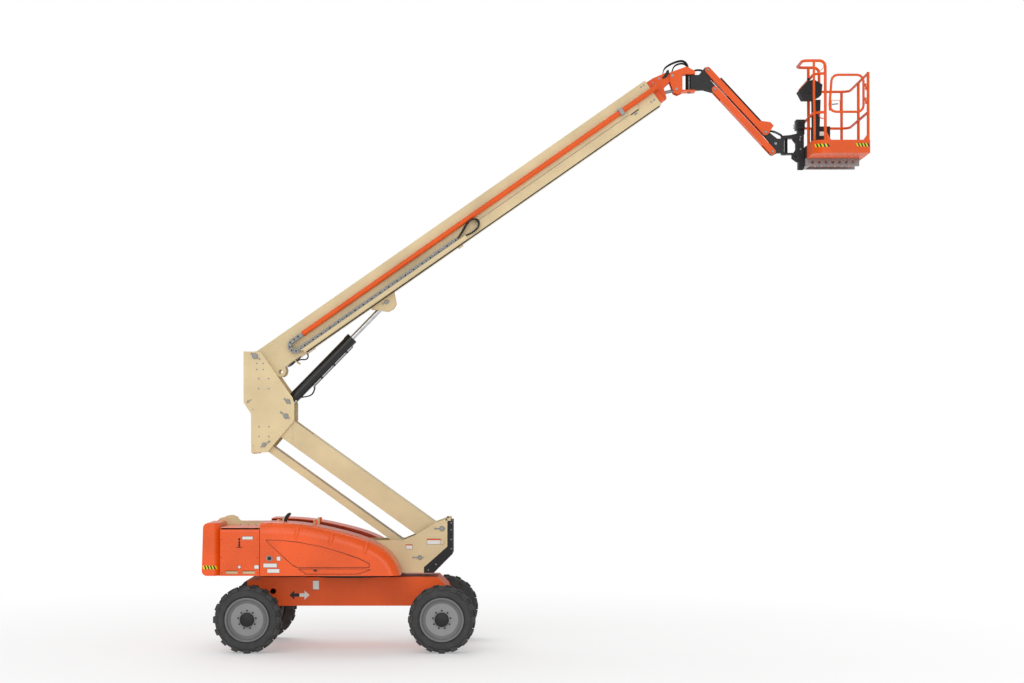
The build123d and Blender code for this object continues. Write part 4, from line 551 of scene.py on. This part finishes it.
# %% Bolts on the upright and the turntable plates
upright_groups = (
    # centre X and Z, half the width and half the height of the group
    (-1292, 4060, 46, 44), (-1238, 3811, 72, 72), (-1233, 3116, 72, 72),
)
for side, name in SIDES:
    bolts = bmesh.new()
    face = side * UPRIGHT_FACE
    for x, z, wide, high in upright_groups:
        corners = [(x + step_x, z + step_z) for step_x in (-wide, wide) for step_z in (-high, high)]
        bolts_into(bolts, corners, face, 7)
    stub_into(bolts, -1461, 3554, face, face + side * 10, 15, 20)
    plate_into(bolts, [(-1486, 3532), (-1482, 3524), (-1410, 3580), (-1414, 3588)],
               min(face, face + side * 6), max(face, face + side * 6))
    bolts_into(bolts, ((-1393, 3438), (-1392, 2906)), face, 5)
    mesh_piece("upright_bolts_" + name, bolts, plated_steel, "upright")
tabs = [((-1403, y - 20, 2794), (-1335, y + 20, 2812)) for y in (-250, 250)]
box_piece("upright_stop_tabs", tabs, sand_paint, "upright")
tabs = [((1398, y - 7, 1829), (1472, y + 7, 1868)) for y in (-345, 345)]
box_piece("turntable_front_tabs", tabs, sand_paint, "turntable")
guard_screws = bmesh.new()
bolts_into(guard_screws, [(1480, z) for z in (1424, 1560, 1700, 1800)], -PLATE_FACE, 6)
bolts_into(guard_screws, ((1150, 1120), (1260, 1200)), -PLATE_FACE, 6)
mesh_piece("guard_screws", guard_screws, plated_steel, "turntable")
print("bolts in groups", 2 * 4 * len(upright_groups))

# %% [markdown]
# The boom's side shows how it is made. The cheek plates are pressed with long ribs, a narrow cable
# runs along the side to an access cover near the end, and the cable chain's links have a screw each,
# alternately large and small. All of it is placed in the boom's own frame.

# %% Details on the boom
BOOM_SIDE = -188
TRAY_FACE = -311
CHAIN_FACE = -294
CHAIN_LOW = -283
CHAIN_HIGH = -125
CHAIN_START = 560
TRAY_END = 3400
LINK_PITCH = 74
SCREW_FACE = CHAIN_FACE - 4
LUG_FACE = 86
COVER_CORNER = 28

ribs = bmesh.new()
for ends in (((195, 41), (392, 30)), ((180, 5), (372, -6)), ((442, -235), (591, -252)),
             ((431, -266), (575, -283))):
    wire_into(ribs, ends, BOOM_SIDE, 4, 8)
box_into(ribs, (604, -160, -380), (760, 160, -364))
box_into(ribs, (3317, -90, -392), (3400, 90, -364))
mesh_piece("boom_ribs", ribs, sand_paint, "boom", boom_frame)

skirt = [((620, TRAY_FACE - 4, -362), (TRAY_END + 100, TRAY_FACE, -306)),
         ((620, TRAY_FACE, -362), (TRAY_END + 100, BOOM_SIDE, -354))]
box_piece("tray_skirt", skirt, sand_paint, "boom", boom_frame)

screws = bmesh.new()
radius = (CHAIN_HIGH - CHAIN_LOW) / 2
for index in range(int((TRAY_END - CHAIN_START) / LINK_PITCH)):
    x = TRAY_END - 20 - (index + 0.5) * LINK_PITCH
    stub_into(screws, x, CHAIN_LOW, CHAIN_FACE, SCREW_FACE, (12, 8)[index % 2], 12)
for turn_deg in (22, 68, 112, 158):
    turn = math.radians(turn_deg)
    x = CHAIN_START - radius * math.sin(turn)
    z = (CHAIN_LOW + CHAIN_HIGH) / 2 - radius * math.cos(turn)
    stub_into(screws, x, z, CHAIN_FACE, SCREW_FACE, 11, 12)
for x in (CHAIN_START + 40, CHAIN_START + 110):
    stub_into(screws, x, CHAIN_HIGH, CHAIN_FACE, SCREW_FACE, 11, 12)
mesh_piece("chain_screws", screws, black_paint, "boom", boom_frame)

edge = [((640, -187, -381), (6900, -176, -364))]
box_piece("boom_edge_strip", edge, black_paint, "boom", boom_frame)
cable = bmesh.new()
wire_into(cable, ((TRAY_END + 330, -226), (6470, -226)), BOOM_SIDE - 3, 3.5, 8)
mesh_piece("side_cable", cable, chain_plastic, "boom", boom_frame)

cover = bmesh.new()
outline = []
for x, z, start in ((6490, -222, 180), (6612, -222, 270), (6612, -160, 0), (6490, -160, 90)):
    for step in range(0, 91, 15):
        turn = math.radians(start + step)
        outline.append((x + COVER_CORNER * math.cos(turn), z + COVER_CORNER * math.sin(turn)))
plate_into(cover, outline, BOOM_SIDE - 12, BOOM_SIDE)
mesh_piece("access_cover", cover, sand_paint, "boom", boom_frame)
# Painted shade: a black bar stands for the dark inside of the cover's slot; three small black squares sit
# above it.
slot_shade_boxes = [((6478, BOOM_SIDE - 14, -247), (6624, BOOM_SIDE - 10, -231))]
slot_shade_boxes += [((x, BOOM_SIDE - 14, -144), (x + 9, BOOM_SIDE - 10, -135)) for x in (6484, 6500, 6516)]
box_piece("access_cover_slot", slot_shade_boxes, black_paint, "boom", boom_frame)
end_bolts = bmesh.new()
for x, z in ((6837, 8), (6885, 8), (6837, -254), (6887, -254), (6540, -268), (6566, -268)):
    bolt_into(end_bolts, (x, BOOM_SIDE, z), (0, -1, 0), 9)
    bolt_into(end_bolts, (x, -BOOM_SIDE, z), (0, 1, 0), 9)
mesh_piece("boom_end_bolts", end_bolts, plated_steel, "boom", boom_frame)
lug_bolts = bmesh.new()
for side in (-1, 1):
    keeper_into(lug_bolts, Vector((2008, 0, -432)), (-60, 8), (48, -6), 30, LUG_FACE, side)
mesh_piece("lug_keepers", lug_bolts, plated_steel, "boom", boom_frame)
print("chain screws, ribs, cover and", TRAY_END - CHAIN_START, "mm of tray skirt")

# %% [markdown]
# Hoses are the softest part of the machine. A hydraulic hose of 20 mm is stiff: it leaves its
# fitting straight, makes one wide arc and goes back in. The curve is a NURBS spline through a few
# given points. A hose between two bodies stays where it is drawn and rides on neither.

# %% Make the free hoses
hose_lengths = {}

def hose(name, points, diameter, ends):
    """A free hose of one spline; ends is a body it rides on, or two bodies and then it stays put."""
    curve = bpy.data.curves.new(name, "CURVE")
    curve.dimensions = "3D"
    curve.resolution_u = 10
    spline = curve.splines.new("NURBS")
    spline.points.add(len(points) - 1)
    for knot, point in zip(spline.points, points):
        knot.co = (point[0] * MM, point[1] * MM, point[2] * MM, 1)
    spline.order_u = 3
    spline.use_endpoint_u = True
    guide = bpy.data.objects.new(name + "_guide", curve)
    line = bpy.data.meshes.new_from_object(guide)
    path = [tuple(corner.co) for corner in line.vertices]
    length = sum((Vector(b) - Vector(a)).length for a, b in zip(path, path[1:]))
    curve.bevel_depth = diameter * MM / 2
    curve.bevel_resolution = 3
    curve.use_fill_caps = True
    tube = bpy.data.meshes.new_from_object(guide)
    bpy.data.objects.remove(guide)
    bpy.data.meshes.remove(line)
    tube.name = name
    tube.materials.clear()
    tube.materials.append(hose_rubber)
    piece = place_in_scene(name, tube)
    if isinstance(ends, str):
        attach(piece, ends)
    else:
        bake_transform(piece)
    hose_lengths[name] = round(length, 3)

def nested(route, y, drop, fitting_top):
    """A route at one Y, lowered where it has left its fittings."""
    return [(x, y, z - drop if z > fitting_top else z) for x, z in route]

nose_route = ((4566, 8355), (4574, 8417), (4627, 8471), (4736, 8526), (4833, 8551), (4894, 8530),
              (4936, 8471), (4946, 8388))
for index, y in enumerate((-48, -24, 0)):
    points = nested(nose_route, y, 7 * index, 8400)
    hose("nose_hose_%d" % (index + 1), points, diameter=13, ends=("fly", "level_bracket"))
short_route = ((4693, 8362), (4712, 8425), (4735, 8475), (4784, 8505), (4850, 8518), (4905, 8500),
               (4938, 8450), (4950, 8386))
for index, y in enumerate((28, 50)):
    points = nested(short_route, y, 7 * index, 8420)
    hose("nose_hose_%d" % (index + 4), points, diameter=17, ends=("fly", "level_bracket"))
print("nose hoses", hose_lengths)

# %% [markdown]
# The same function serves the other hoses: the loop where the lines leave the cable chain and go
# into the boom, the bunch at the boom's foot, the three over the swing pin, the pair at the jib's
# end and the two on the lift cylinder's barrel.

# %% The other hoses
def along_frame(place, points):
    """Points of a member's frame as points of the machine, in millimetres."""
    return [tuple(place @ (Vector(point) * MM) / MM) for point in points]

for index, (y, grow) in enumerate(((-284, 0), (-262, 10), (-240, 20))):
    points = [(3360, y, -283), (3470, y, -262 + grow), (3596, y, -195 + grow), (3690, y, -160),
              (3750 + grow, y, -190), (3768 + grow, y, -250), (3735, y + 20, -312), (3650, y + 40, -326),
              (3560, -200, -320), (3490, -176, -300)]
    hose("chain_hose_%d" % (index + 1), along_frame(boom_frame, points), diameter=21, ends="boom")

foot_routes = (
    ((-648, 4303), (-710, 4270), (-753, 4220), (-790, 4156), (-843, 4082), (-905, 4062)),
    ((-650, 4302), (-700, 4262), (-730, 4205), (-770, 4150), (-825, 4125), (-885, 4098), (-928, 4086)),
    ((-645, 4300), (-625, 4240), (-628, 4190), (-668, 4165), (-724, 4172), (-790, 4150), (-860, 4112),
     (-922, 4094)),
)
for index, (route, y) in enumerate(zip(foot_routes, (-110, -40, 40))):
    hose("boom_foot_hose_%d" % (index + 1), [(x, y, z) for x, z in route], diameter=20, ends="boom")

swing_route = ((4985, 8372), (5030, 8402), (5090, 8410), (5150, 8398), (5192, 8360))
for index, y in enumerate((-46, -22, 22)):
    points = [(x, y, z) for x, z in swing_route]
    hose("swing_hose_%d" % (index + 1), points, diameter=20, ends=("level_bracket", "jib_base"))

end_route = ((6100, 7500), (6140, 7520), (6200, 7504), (6262, 7478), (6318, 7440), (6328, 7392))
for index, y in enumerate((-40, 30)):
    points = [(x, y, z - 6 * index) for x, z in end_route]
    hose("jib_end_hose_%d" % (index + 1), points, diameter=16, ends="jib_end")

barrel_frame = member_frame(cylinder_foot, joint_at["lift_rod_hinge"] - cylinder_foot)
for index, y in enumerate((-34, 20)):
    points = [(410, y, -104), (385, y, -128), (320, y, -158), (262, y, -150), (200, y, -108),
              (150, y, -70)]
    points = along_frame(barrel_frame, points)
    hose("cylinder_hose_%d" % (index + 1), points, diameter=18, ends="lift_barrel")
print("hose lengths in metres", hose_lengths)

# %% [markdown]
# Steel pipes and clipped lines are stiff and follow their member. The lift cylinder has two thin
# pipes along its underside, and three covered lines lie on the jib's upper arm. Below that arm the
# jib's own lift cylinder shows as a dark tube.

# %% Pipes and clipped lines
pipes = bmesh.new()
for y in (-34, 20):
    wire_into(pipes, ((408, -98), (1205, -98), (1225, -70)), y, 9, 12)
    bar_into(pipes, (408, y, -98), (396, y, -112), 13, 6)
mesh_piece("cylinder_pipes", pipes, plated_steel, "lift_barrel", barrel_frame)
clips = [((x, -48, -108), (x + 30, 34, -70)) for x in (560, 820, 1080)]
box_piece("cylinder_pipe_clips", clips, black_paint, "lift_barrel", barrel_frame)

jib_frame = member_frame(joint_at["jib_lift"], joint_at["jib_end_level"] - joint_at["jib_lift"])
lines = bmesh.new()
for y in (-34, 0, 34):
    bar_into(lines, (212, y, 62), (1090, y, 62), 15, 12)
bar_into(lines, (470, 0, -34), (1060, 0, -34), 18, 24)
bar_into(lines, (420, 0, -34), (470, 0, -34), 10, 16)
mesh_piece("jib_lines", lines, hose_rubber, "jib_upper", jib_frame)
print("pipes on the lift cylinder and lines on the jib")

# %% [markdown]
# The hoses on the nose are held in a rubber clamp on the boom's end plate, and the nose itself shows
# its through bolts. A second clamp of painted strip holds the bunch at the boom's foot.

# %% Clamps and nose bolts
clamp = bmesh.new()
plate_into(clamp, [(4552, 8285), (4570, 8272), (4612, 8291), (4655, 8351), (4648, 8400), (4619, 8392),
                   (4588, 8327)], -100, 40)
mesh_piece("nose_clamp", clamp, box_plastic, "fly")
bolts = bmesh.new()
for x, z in ((4509, 8275), (4412, 8209)):
    for side in (-1, 1):
        bolt_into(bolts, (x, side * 78, z), (0, side, 0), 10)
mesh_piece("nose_bolts", bolts, plated_steel, "fly")
strap = bmesh.new()
stub_into(strap, -800, 4150, -150, 90, 9, 8)
stub_into(strap, -745, 4105, -150, 90, 9, 8)
for y in (-150, 90):
    bar_into(strap, (-806, y, 4156), (-740, y, 4100), 9, 8)
mesh_piece("foot_hose_strap", strap, sand_paint, "boom")
print("nose clamp, bolts and strap")

# %% [markdown]
# The moulded hood is not plain: an edge runs round its large side panel, three shallow folds cross
# its shoulder, and a small latch sits in the lower panel. The shade at the panel's recessed edge is
# painted on as a thin black bead that follows the recess, and each fold is a flattened ridge over
# the shoulder.

# %% Hoods, snorkel and gauge
HOOD_SIDE = -1120
EDGE_SHADE_FACE = 1119
LATCH_FACE = 1118
FOLD_STEPS = 14
FOLD_RISE = 22
FOLD_RUN = 150
FOLD_SINK = 6
upper_panel = ((-1110, 1594), (-900, 1589), (-653, 1562), (-340, 1503), (-27, 1412), (200, 1330),
               (340, 1264), (352, 1222), (340, 1205), (-666, 1203), (-740, 1240), (-1090, 1560))
lower_panel = ((-650, 1186), (-549, 1111), (182, 1111), (365, 1172), (300, 1186))
for side, name in SIDES:
    # Painted shade: a thin black bead round each panel stands for the shade at the edge of its recess.
    edge_shade = bmesh.new()
    for outline in (upper_panel, lower_panel):
        wire_into(edge_shade, outline + outline[:1], side * EDGE_SHADE_FACE, 3.5, 6)
    mesh_piece("hood_beads_" + name, edge_shade, black_paint, "hood_" + name, slot_name="cover_orange")
    folds = bmesh.new()
    for x, z, lean in ((-662, 1738, -34), (-175, 1660, -34), (312, 1530, -34)):
        for index in range(FOLD_STEPS):
            share = index / (FOLD_STEPS - 1)
            x_here = x + lean * share
            z_here = z + FOLD_RISE - FOLD_RUN * share
            y_here = skin_at("hood_" + name, x_here, z_here, side)
            if y_here is None:
                continue
            swell = 5 + 17 * math.sin(math.pi * (0.15 + 0.7 * share))
            place = Matrix.Translation((x_here, y_here - side * FOLD_SINK, z_here))
            bmesh.ops.create_uvsphere(folds, u_segments=20, v_segments=10, radius=1,
                                      matrix=place @ Matrix.Diagonal((16 + swell, swell, swell * 1.2, 1)))
    mesh_piece("hood_folds_" + name, folds, cover_orange, "hood_" + name, smooth=80)
    latch = bmesh.new()
    bmesh.ops.create_uvsphere(latch, u_segments=24, v_segments=8, radius=1,
                              matrix=Matrix.Translation((-415, side * LATCH_FACE, 1162))
                              @ Matrix.Diagonal((27, 6, 14, 1)))
    mesh_piece("hood_latch_" + name, latch, box_plastic, "hood_" + name, smooth=80)

snorkel = bmesh.new()
for start, end, radius, end_radius in (((-900, -560, 1770), (-890, -560, 1860), 24, 24),
                                       ((-890, -560, 1852), (-872, -560, 1900), 24, 27),
                                       ((-872, -560, 1895), (-838, -560, 1936), 27, 24),
                                       ((-840, -560, 1930), (-816, -560, 1946), 24, 13)):
    bar_into(snorkel, start, end, radius, 20, end_radius)
mesh_piece("snorkel", snorkel, box_plastic, "hood_near", smooth=50)
gauge = bmesh.new()
stub_into(gauge, -1062, 1334, HOOD_SIDE, HOOD_SIDE - 8, 40, 32)
box_into(gauge, (-1115, HOOD_SIDE - 5, 1322), (-1010, HOOD_SIDE, 1346))
mesh_piece("gauge", gauge, plated_steel, "hood_near")
dial = bmesh.new()
stub_into(dial, -1062, 1334, HOOD_SIDE - 8, HOOD_SIDE - 11, 28, 32)
mesh_piece("gauge_dial", dial, box_plastic, "hood_near")
print("hood beads, folds, latches, snorkel and gauge")

# %% [markdown]
# Stuck-on sheets give the machine much of its life: slanted yellow and black hazard stripes, a
# black and white arrow that shows which way it drives, and small plates. The plates are left blank.
# The stripes are cut as real slanted strips, so their edges stay sharp from near by.

# %% Stripes, arrows and blank plates
stripe_yellow = sprayed_paint("stripe_yellow", card(214, 216, 30), 0.5, 0.1, dust=0.05)
stripe_black = sprayed_paint("stripe_black", card(22, 22, 22), 0.5, 0.1, dust=0.05)
plate_white = sprayed_paint("plate_white", card(226, 226, 222), 0.5, 0.1, dust=0.1)
SHEET = 1.2
STRIP_STEPS = 4
COVER_FACE = 1108
CHASSIS_FACE = 480

def strip_into(shape, route, along_low, along_high, z_low, z_high, lean):
    """A slanted strip on a surface; route turns a distance along it and a height into X and Y."""
    grid = []
    for row in range(STRIP_STEPS + 1):
        z = z_low + (z_high - z_low) * row / STRIP_STEPS
        start = along_low + lean * (1 - row / STRIP_STEPS)
        places = [start + (along_high - along_low) * s / STRIP_STEPS for s in range(STRIP_STEPS + 1)]
        grid.append([shape.verts.new((*route(place, z), z)) for place in places])
    for lower, upper in zip(grid, grid[1:]):
        for s in range(STRIP_STEPS):
            shape.faces.new((lower[s], lower[s + 1], upper[s + 1], upper[s]))

def hazard_band(name, route, start, end, z_low, z_high, count, lean, body):
    """Alternate strips of yellow and black along a route."""
    width = (end - start - lean) / count
    for offset, finish in enumerate((stripe_yellow, stripe_black)):
        shape = bmesh.new()
        for index in range(offset, count, 2):
            along = start + index * width
            strip_into(shape, route, along, along + width, z_low, z_high, lean)
        mesh_piece(name + ("_yellow", "_black")[offset], shape, finish, body)

weight_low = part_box("counterweight")[0] / MM

def weight_side(s, z):
    """X and Y on the counterweight's near side."""
    met = skin_at("counterweight", s, z)
    return (s, (weight_low.y if met is None else met) - SHEET)

hazard_band("weight_stripes_near", weight_side, weight_low.x + 8, weight_low.x + 218, 1182, 1232,
            count=9, lean=20, body="turntable")

PLATFORM_CORNER = 180
floor_low, floor_high = [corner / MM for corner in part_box("kick_plate")]

def near_kick(s, z):
    """X and Y of the kick plate's outside, from its inner side round the corner to the near end."""
    arc = PLATFORM_CORNER * math.pi / 2
    reach = PLATFORM_CORNER + SHEET
    x_mid = floor_low.x + PLATFORM_CORNER
    y_mid = floor_low.y + PLATFORM_CORNER
    if s < arc:
        turn = s / PLATFORM_CORNER
        return (x_mid - reach * math.cos(turn), y_mid - reach * math.sin(turn))
    return (x_mid + s - arc, y_mid - reach)

kick_end = PLATFORM_CORNER * math.pi / 2 + floor_high.x - floor_low.x - PLATFORM_CORNER
kick_low = floor_low.z + 86
for name, start, end, low in (("inner", 110, 345, kick_low),
                              ("outer", kick_end - 205, kick_end - 4, kick_low + 6)):
    hazard_band("kick_stripes_" + name, near_kick, start, end, low, low + 46,
                count=8, lean=22, body="platform")

def arrow_into(shape, x_tail, x_tip, z, y, reach=66, shaft=24, head=72):
    """A flat arrow with a broad head."""
    x_neck = x_tip - head if x_tip > x_tail else x_tip + head
    outline = [(x_tail, z - shaft), (x_neck, z - shaft), (x_neck, z - reach), (x_tip, z),
               (x_neck, z + reach), (x_neck, z + shaft), (x_tail, z + shaft)]
    plate_into(shape, outline, y - SHEET, y)

for side, name in SIDES:
    y = -CHASSIS_FACE if side < 0 else CHASSIS_FACE + SHEET
    for tone, tip, finish in (("black", -843, stripe_black), ("white", -553, plate_white)):
        arrow = bmesh.new()
        arrow_into(arrow, -698, tip, 768, y)
        mesh_piece("drive_arrow_%s_%s" % (tone, name), arrow, finish, "chassis")

BORDER = 4
plates = {
    # body: X and Z of two corners, and the near face's Y
    "chassis": ((-504, 849, -417, 973, -CHASSIS_FACE),),
    "turntable": ((826, 1423, 918, 1485, -PLATE_FACE), (1132, 1492, 1326, 1567, -PLATE_FACE),
                  (-1444, 1600, -1299, 1641, -COVER_FACE), (-1274, 1188, -1213, 1236, -COVER_FACE)),
    "hood_near": ((-1146, 1208, -957, 1262, HOOD_SIDE), (-1090, 1131, -920, 1184, HOOD_SIDE),
                  (-957, 1303, -908, 1358, HOOD_SIDE)),
}
for body, sheets in plates.items():
    shape = bmesh.new()
    borders = bmesh.new()
    for x_low, z_low, x_high, z_high, y in sheets:
        box_into(shape, (x_low, y - SHEET, z_low), (x_high, y, z_high))
        box_into(borders, (x_low - BORDER, y - SHEET / 2, z_low - BORDER),
                 (x_high + BORDER, y, z_high + BORDER))
    mesh_piece("blank_plates_" + body, shape, plate_white, body)
    mesh_piece("plate_borders_" + body, borders, stripe_black, body)
headers = [((x_low, -PLATE_FACE - 2 * SHEET, z_low), (x_high, -PLATE_FACE - SHEET, z_high))
           for x_low, z_low, x_high, z_high in ((1132, 1549, 1326, 1567), (826, 1472, 918, 1485))]
box_piece("plate_headers", headers, lift_orange, "turntable")
emblem = bmesh.new()
for x_low, x_high, z_high in ((-1493, -1483, 1617), (-1526, -1450, 1496)):
    box_into(emblem, (x_low, -COVER_FACE - SHEET, 1484), (x_high, -COVER_FACE, z_high))
for z in (1604, 1556, 1520):
    stub_into(emblem, -1488, z, -COVER_FACE, -COVER_FACE - SHEET, 15, 20)
mesh_piece("lever_sign", emblem, stripe_black, "turntable")
sign_red = sprayed_paint("sign_red", card(190, 30, 24), 0.5, 0.05, dust=0.03)
for name, finish, radius, lift in (("round_sign_rim", sign_red, 27, 1),
                                   ("round_sign", plate_white, 20, 2)):
    shape = bmesh.new()
    stub_into(shape, -1487, 1212, -COVER_FACE, -COVER_FACE - lift * SHEET, radius, 32)
    mesh_piece(name, shape, finish, "turntable")
print("stripes, arrows and", sum(len(s) for s in plates.values()), "blank plates")

# %% [markdown]
# The side covers have six small screws each, and deep slots that show the pale frame behind. The
# slot's inner faces are left as they are; a pale strip in the slot gives the glimpse of the frame.

# %% Screws on the covers
SLOT_DEPTH_Y = 1094

for side, name in SIDES:
    screws = bmesh.new()
    spots = [(x, z) for x in (-1735, -1228) for z in (1130, 1344, 1600)]
    bolts_into(screws, spots, side * COVER_FACE, 4)
    mesh_piece("cover_screws_" + name, screws, box_plastic, "turntable")
    y_low, y_high = sorted((side * SLOT_DEPTH_Y, side * (SLOT_DEPTH_Y - 6)))
    backing = [((-1690, y_low, 1106), (-1250, y_high, 1150))]
    box_piece("slot_backing_" + name, backing, sand_paint, "turntable")
top_screws = bmesh.new()
bolts_into(top_screws, [(x, 1776) for x in (-1560, -1450, -1340, -1230)], -PLATE_FACE, 6)
mesh_piece("plate_top_screws", top_screws, plated_steel, "turntable")
print("cover screws")

# %% [markdown]
# The platform is where people look closely. Triangular gussets brace its posts on the kick plate, a
# latch plate with a wire guard keeps the gate shut, a dark box with a blank plate stands on the
# floor, the console gets a joystick and buttons, and a round lanyard anchor sits on the guard rail.

# %% Platform details
END_FACE = -915
RIB_COUNT = 8
RIB_REACH = 800
LATCH_Y = -886
LOOP_STEPS = 16
platform_x = joint_at["platform_rotate"].x / MM
floor_z = floor_low.z
gussets = bmesh.new()
for outline in (((6835, 7273), (6899, 7273), (6835, 7385)), ((7359, 7273), (7435, 7273), (7435, 7385))):
    plate_into(gussets, outline, END_FACE + 2, END_FACE + 6)
mesh_piece("kick_gussets", gussets, lift_orange, "platform")

rib_rows = [-RIB_REACH + index * 2 * RIB_REACH / (RIB_COUNT - 1) for index in range(RIB_COUNT)]
cross_ribs = [((6700, y - 14, floor_z - 1), (7430, y + 14, floor_z)) for y in rib_rows]
box_piece("floor_ribs", cross_ribs, lift_orange, "platform")

latch = bmesh.new()
box_into(latch, (6872, -889, 7690), (6908, -883, 7840))
wire_into(latch, ((6908, 7690), (6908, 7838), (7030, 7838), (7030, 7672)), LATCH_Y, 4, 8)
mesh_piece("gate_latch", latch, lift_orange, "gate")
handle = bmesh.new()
wire_into(handle, ((6916, 7781), (7006, 7788)), LATCH_Y, 7, 12)
mesh_piece("gate_latch_handle", handle, box_plastic, "gate")

cabinet = bmesh.new()
box_into(cabinet, (6700, -470, floor_z + 120), (6950, -250, floor_z + 436))
bar_into(cabinet, (6830, -380, floor_z + 5), (6830, -380, floor_z + 125), 30)
mesh_piece("floor_cabinet", cabinet, box_plastic, "platform")
cabinet_plate = [((6795, -470 - SHEET, floor_z + 300), (6880, -470, floor_z + 360))]
box_piece("cabinet_plate", cabinet_plate, plate_white, "platform")

stick = bmesh.new()
bar_into(stick, (6630, -430, floor_z + 1060), (6638, -430, floor_z + 1118), 9, 12)
bmesh.ops.create_uvsphere(stick, u_segments=16, v_segments=8, radius=17,
                          matrix=Matrix.Translation((6640, -430, floor_z + 1126)))
box_into(stick, (6560, -566, floor_z + 900), (6700, -560, floor_z + 1010))
for x, z in ((6590, 925), (6630, 925), (6670, 925), (6590, 975), (6670, 975)):
    stub_into(stick, x, floor_z + z, -566, -574, 9, 12)
mesh_piece("console_controls", stick, hose_rubber, "platform", smooth=60)

anchor = bmesh.new()
stub_into(anchor, 6905, 8430, -262, -238, 22, 24)
bar_into(anchor, (6890, -250, 8412), (6822, -250, 8338), 4, 8)
mesh_piece("lanyard_anchor", anchor, lift_orange, "platform")
loop = bmesh.new()
loop_points = []
for index in range(LOOP_STEPS + 1):
    turn = math.pi + math.pi * index / LOOP_STEPS
    loop_points.append((6783 + 50 * math.cos(turn), 7640 + 62 * math.sin(turn)))
wire_into(loop, loop_points, -884, 7, 10)
mesh_piece("tie_loop", loop, lift_orange, "platform", smooth=60)
print("platform details at X", round(platform_x), "floor", round(floor_z))

# %% [markdown]
# The valve block that swings the platform sits on the fork, with grey fittings where its lines go
# in. Bolts on the fork's plates and caps on the jib's pins complete this end.

# %% Fork and valve block
FITTING_Y = -60
FORK_FACE = -78
VALVE_COUNT = 3
VALVE_TOP = 7620
VALVE_PITCH = 38

fittings = bmesh.new()
for z in (7592, 7566, 7545):
    wire_into(fittings, ((platform_x + 165, z), (platform_x + 134, z)), FITTING_Y, 8, 6)
    wire_into(fittings, ((platform_x + 134, z), (platform_x + 122, z)), FITTING_Y, 5, 12)
spots = [(platform_x + x, z) for x, z in ((230, 7420), (222, 7380), (230, 7240))]
bolts_into(fittings, spots, FORK_FACE, 8)
mesh_piece("valve_fittings", fittings, plated_steel, "platform")
valves = bmesh.new()
for index in range(VALVE_COUNT):
    z = VALVE_TOP - index * VALVE_PITCH
    box_into(valves, (platform_x + 200, -130, z), (platform_x + 270, -110, z + 26))
    stub_into(valves, platform_x + 214, z + 13, -112, -140, 10, 12)
mesh_piece("valve_spools", valves, black_paint, "platform")
jib_bolts = bmesh.new()
bolt_into(jib_bolts, (6211, -66, 7324), (0, -1, 0), 12)
mesh_piece("jib_end_bolt", jib_bolts, plated_steel, "jib_end")
low_end = joint_at["jib_lower_hinge"] + joint_at["jib_end_level"] - joint_at["jib_lift"]
jib_pins = {"jib_base": (joint_at["jib_lift"], joint_at["jib_lower_hinge"]),
            "jib_end": (joint_at["jib_end_level"], low_end)}
for body, centres in jib_pins.items():
    caps = bmesh.new()
    for centre in centres:
        x = centre.x / MM
        z = centre.z / MM
        for side in (-1, 1):
            skin = skin_at(body, x, z, side)
            stub_into(caps, x, z, skin, skin + side * 5, 17, 24)
            bolt_into(caps, (x, skin + side * 5, z), (0, side, 0), 8)
    mesh_piece("jib_pin_caps_" + body, caps, plated_steel, body)
print("valve block and jib pins dressed")

# %% [markdown]
# The machine stands on a plain pale floor. Far away the floor should melt into the white room, or a
# hard horizon would cross the picture, so its colour fades to a glow of the room's own white.

# %% Lay the floor
FLOOR_REACH = 160
FLOOR_COLOUR = (0.93, 0.93, 0.93, 1)
GLOW_START = 3.5
GLOW_FULL = 11
GLOW_LEAST = 0.3

floor_finish, tree, shader = new_finish("pale_floor")
set_inputs(shader, {"Base Color": FLOOR_COLOUR, "Roughness": 0.9})
floor_glow = add_node(tree, "Emission", {"Color": WHITE})
where = add_node(tree, "NewGeometry")
distance = add_node(tree, "VectorMath")
distance.operation = "LENGTH"
tree.links.new(where.outputs["Position"], distance.inputs[0])
far = span(tree, distance.outputs["Value"], GLOW_START, GLOW_FULL, GLOW_LEAST, 1)
floor_mix = add_node(tree, "MixShader")
for index, source in enumerate((far, shader.outputs[0], floor_glow.outputs[0])):
    tree.links.new(source, floor_mix.inputs[index])
out = [n for n in tree.nodes if n.type == "OUTPUT_MATERIAL"][0]
tree.links.new(floor_mix.outputs[0], out.inputs[0])
floor_mesh = bpy.data.meshes.new("floor")
corners = [(x * FLOOR_REACH, y * FLOOR_REACH, 0) for x, y in ((-1, -1), (1, -1), (1, 1), (-1, 1))]
floor_mesh.from_pydata(corners, [], [(0, 1, 2, 3)])
floor_mesh.materials.append(floor_finish)
floor = place_in_scene("floor", floor_mesh)
print("floor", 2 * FLOOR_REACH, "m across")
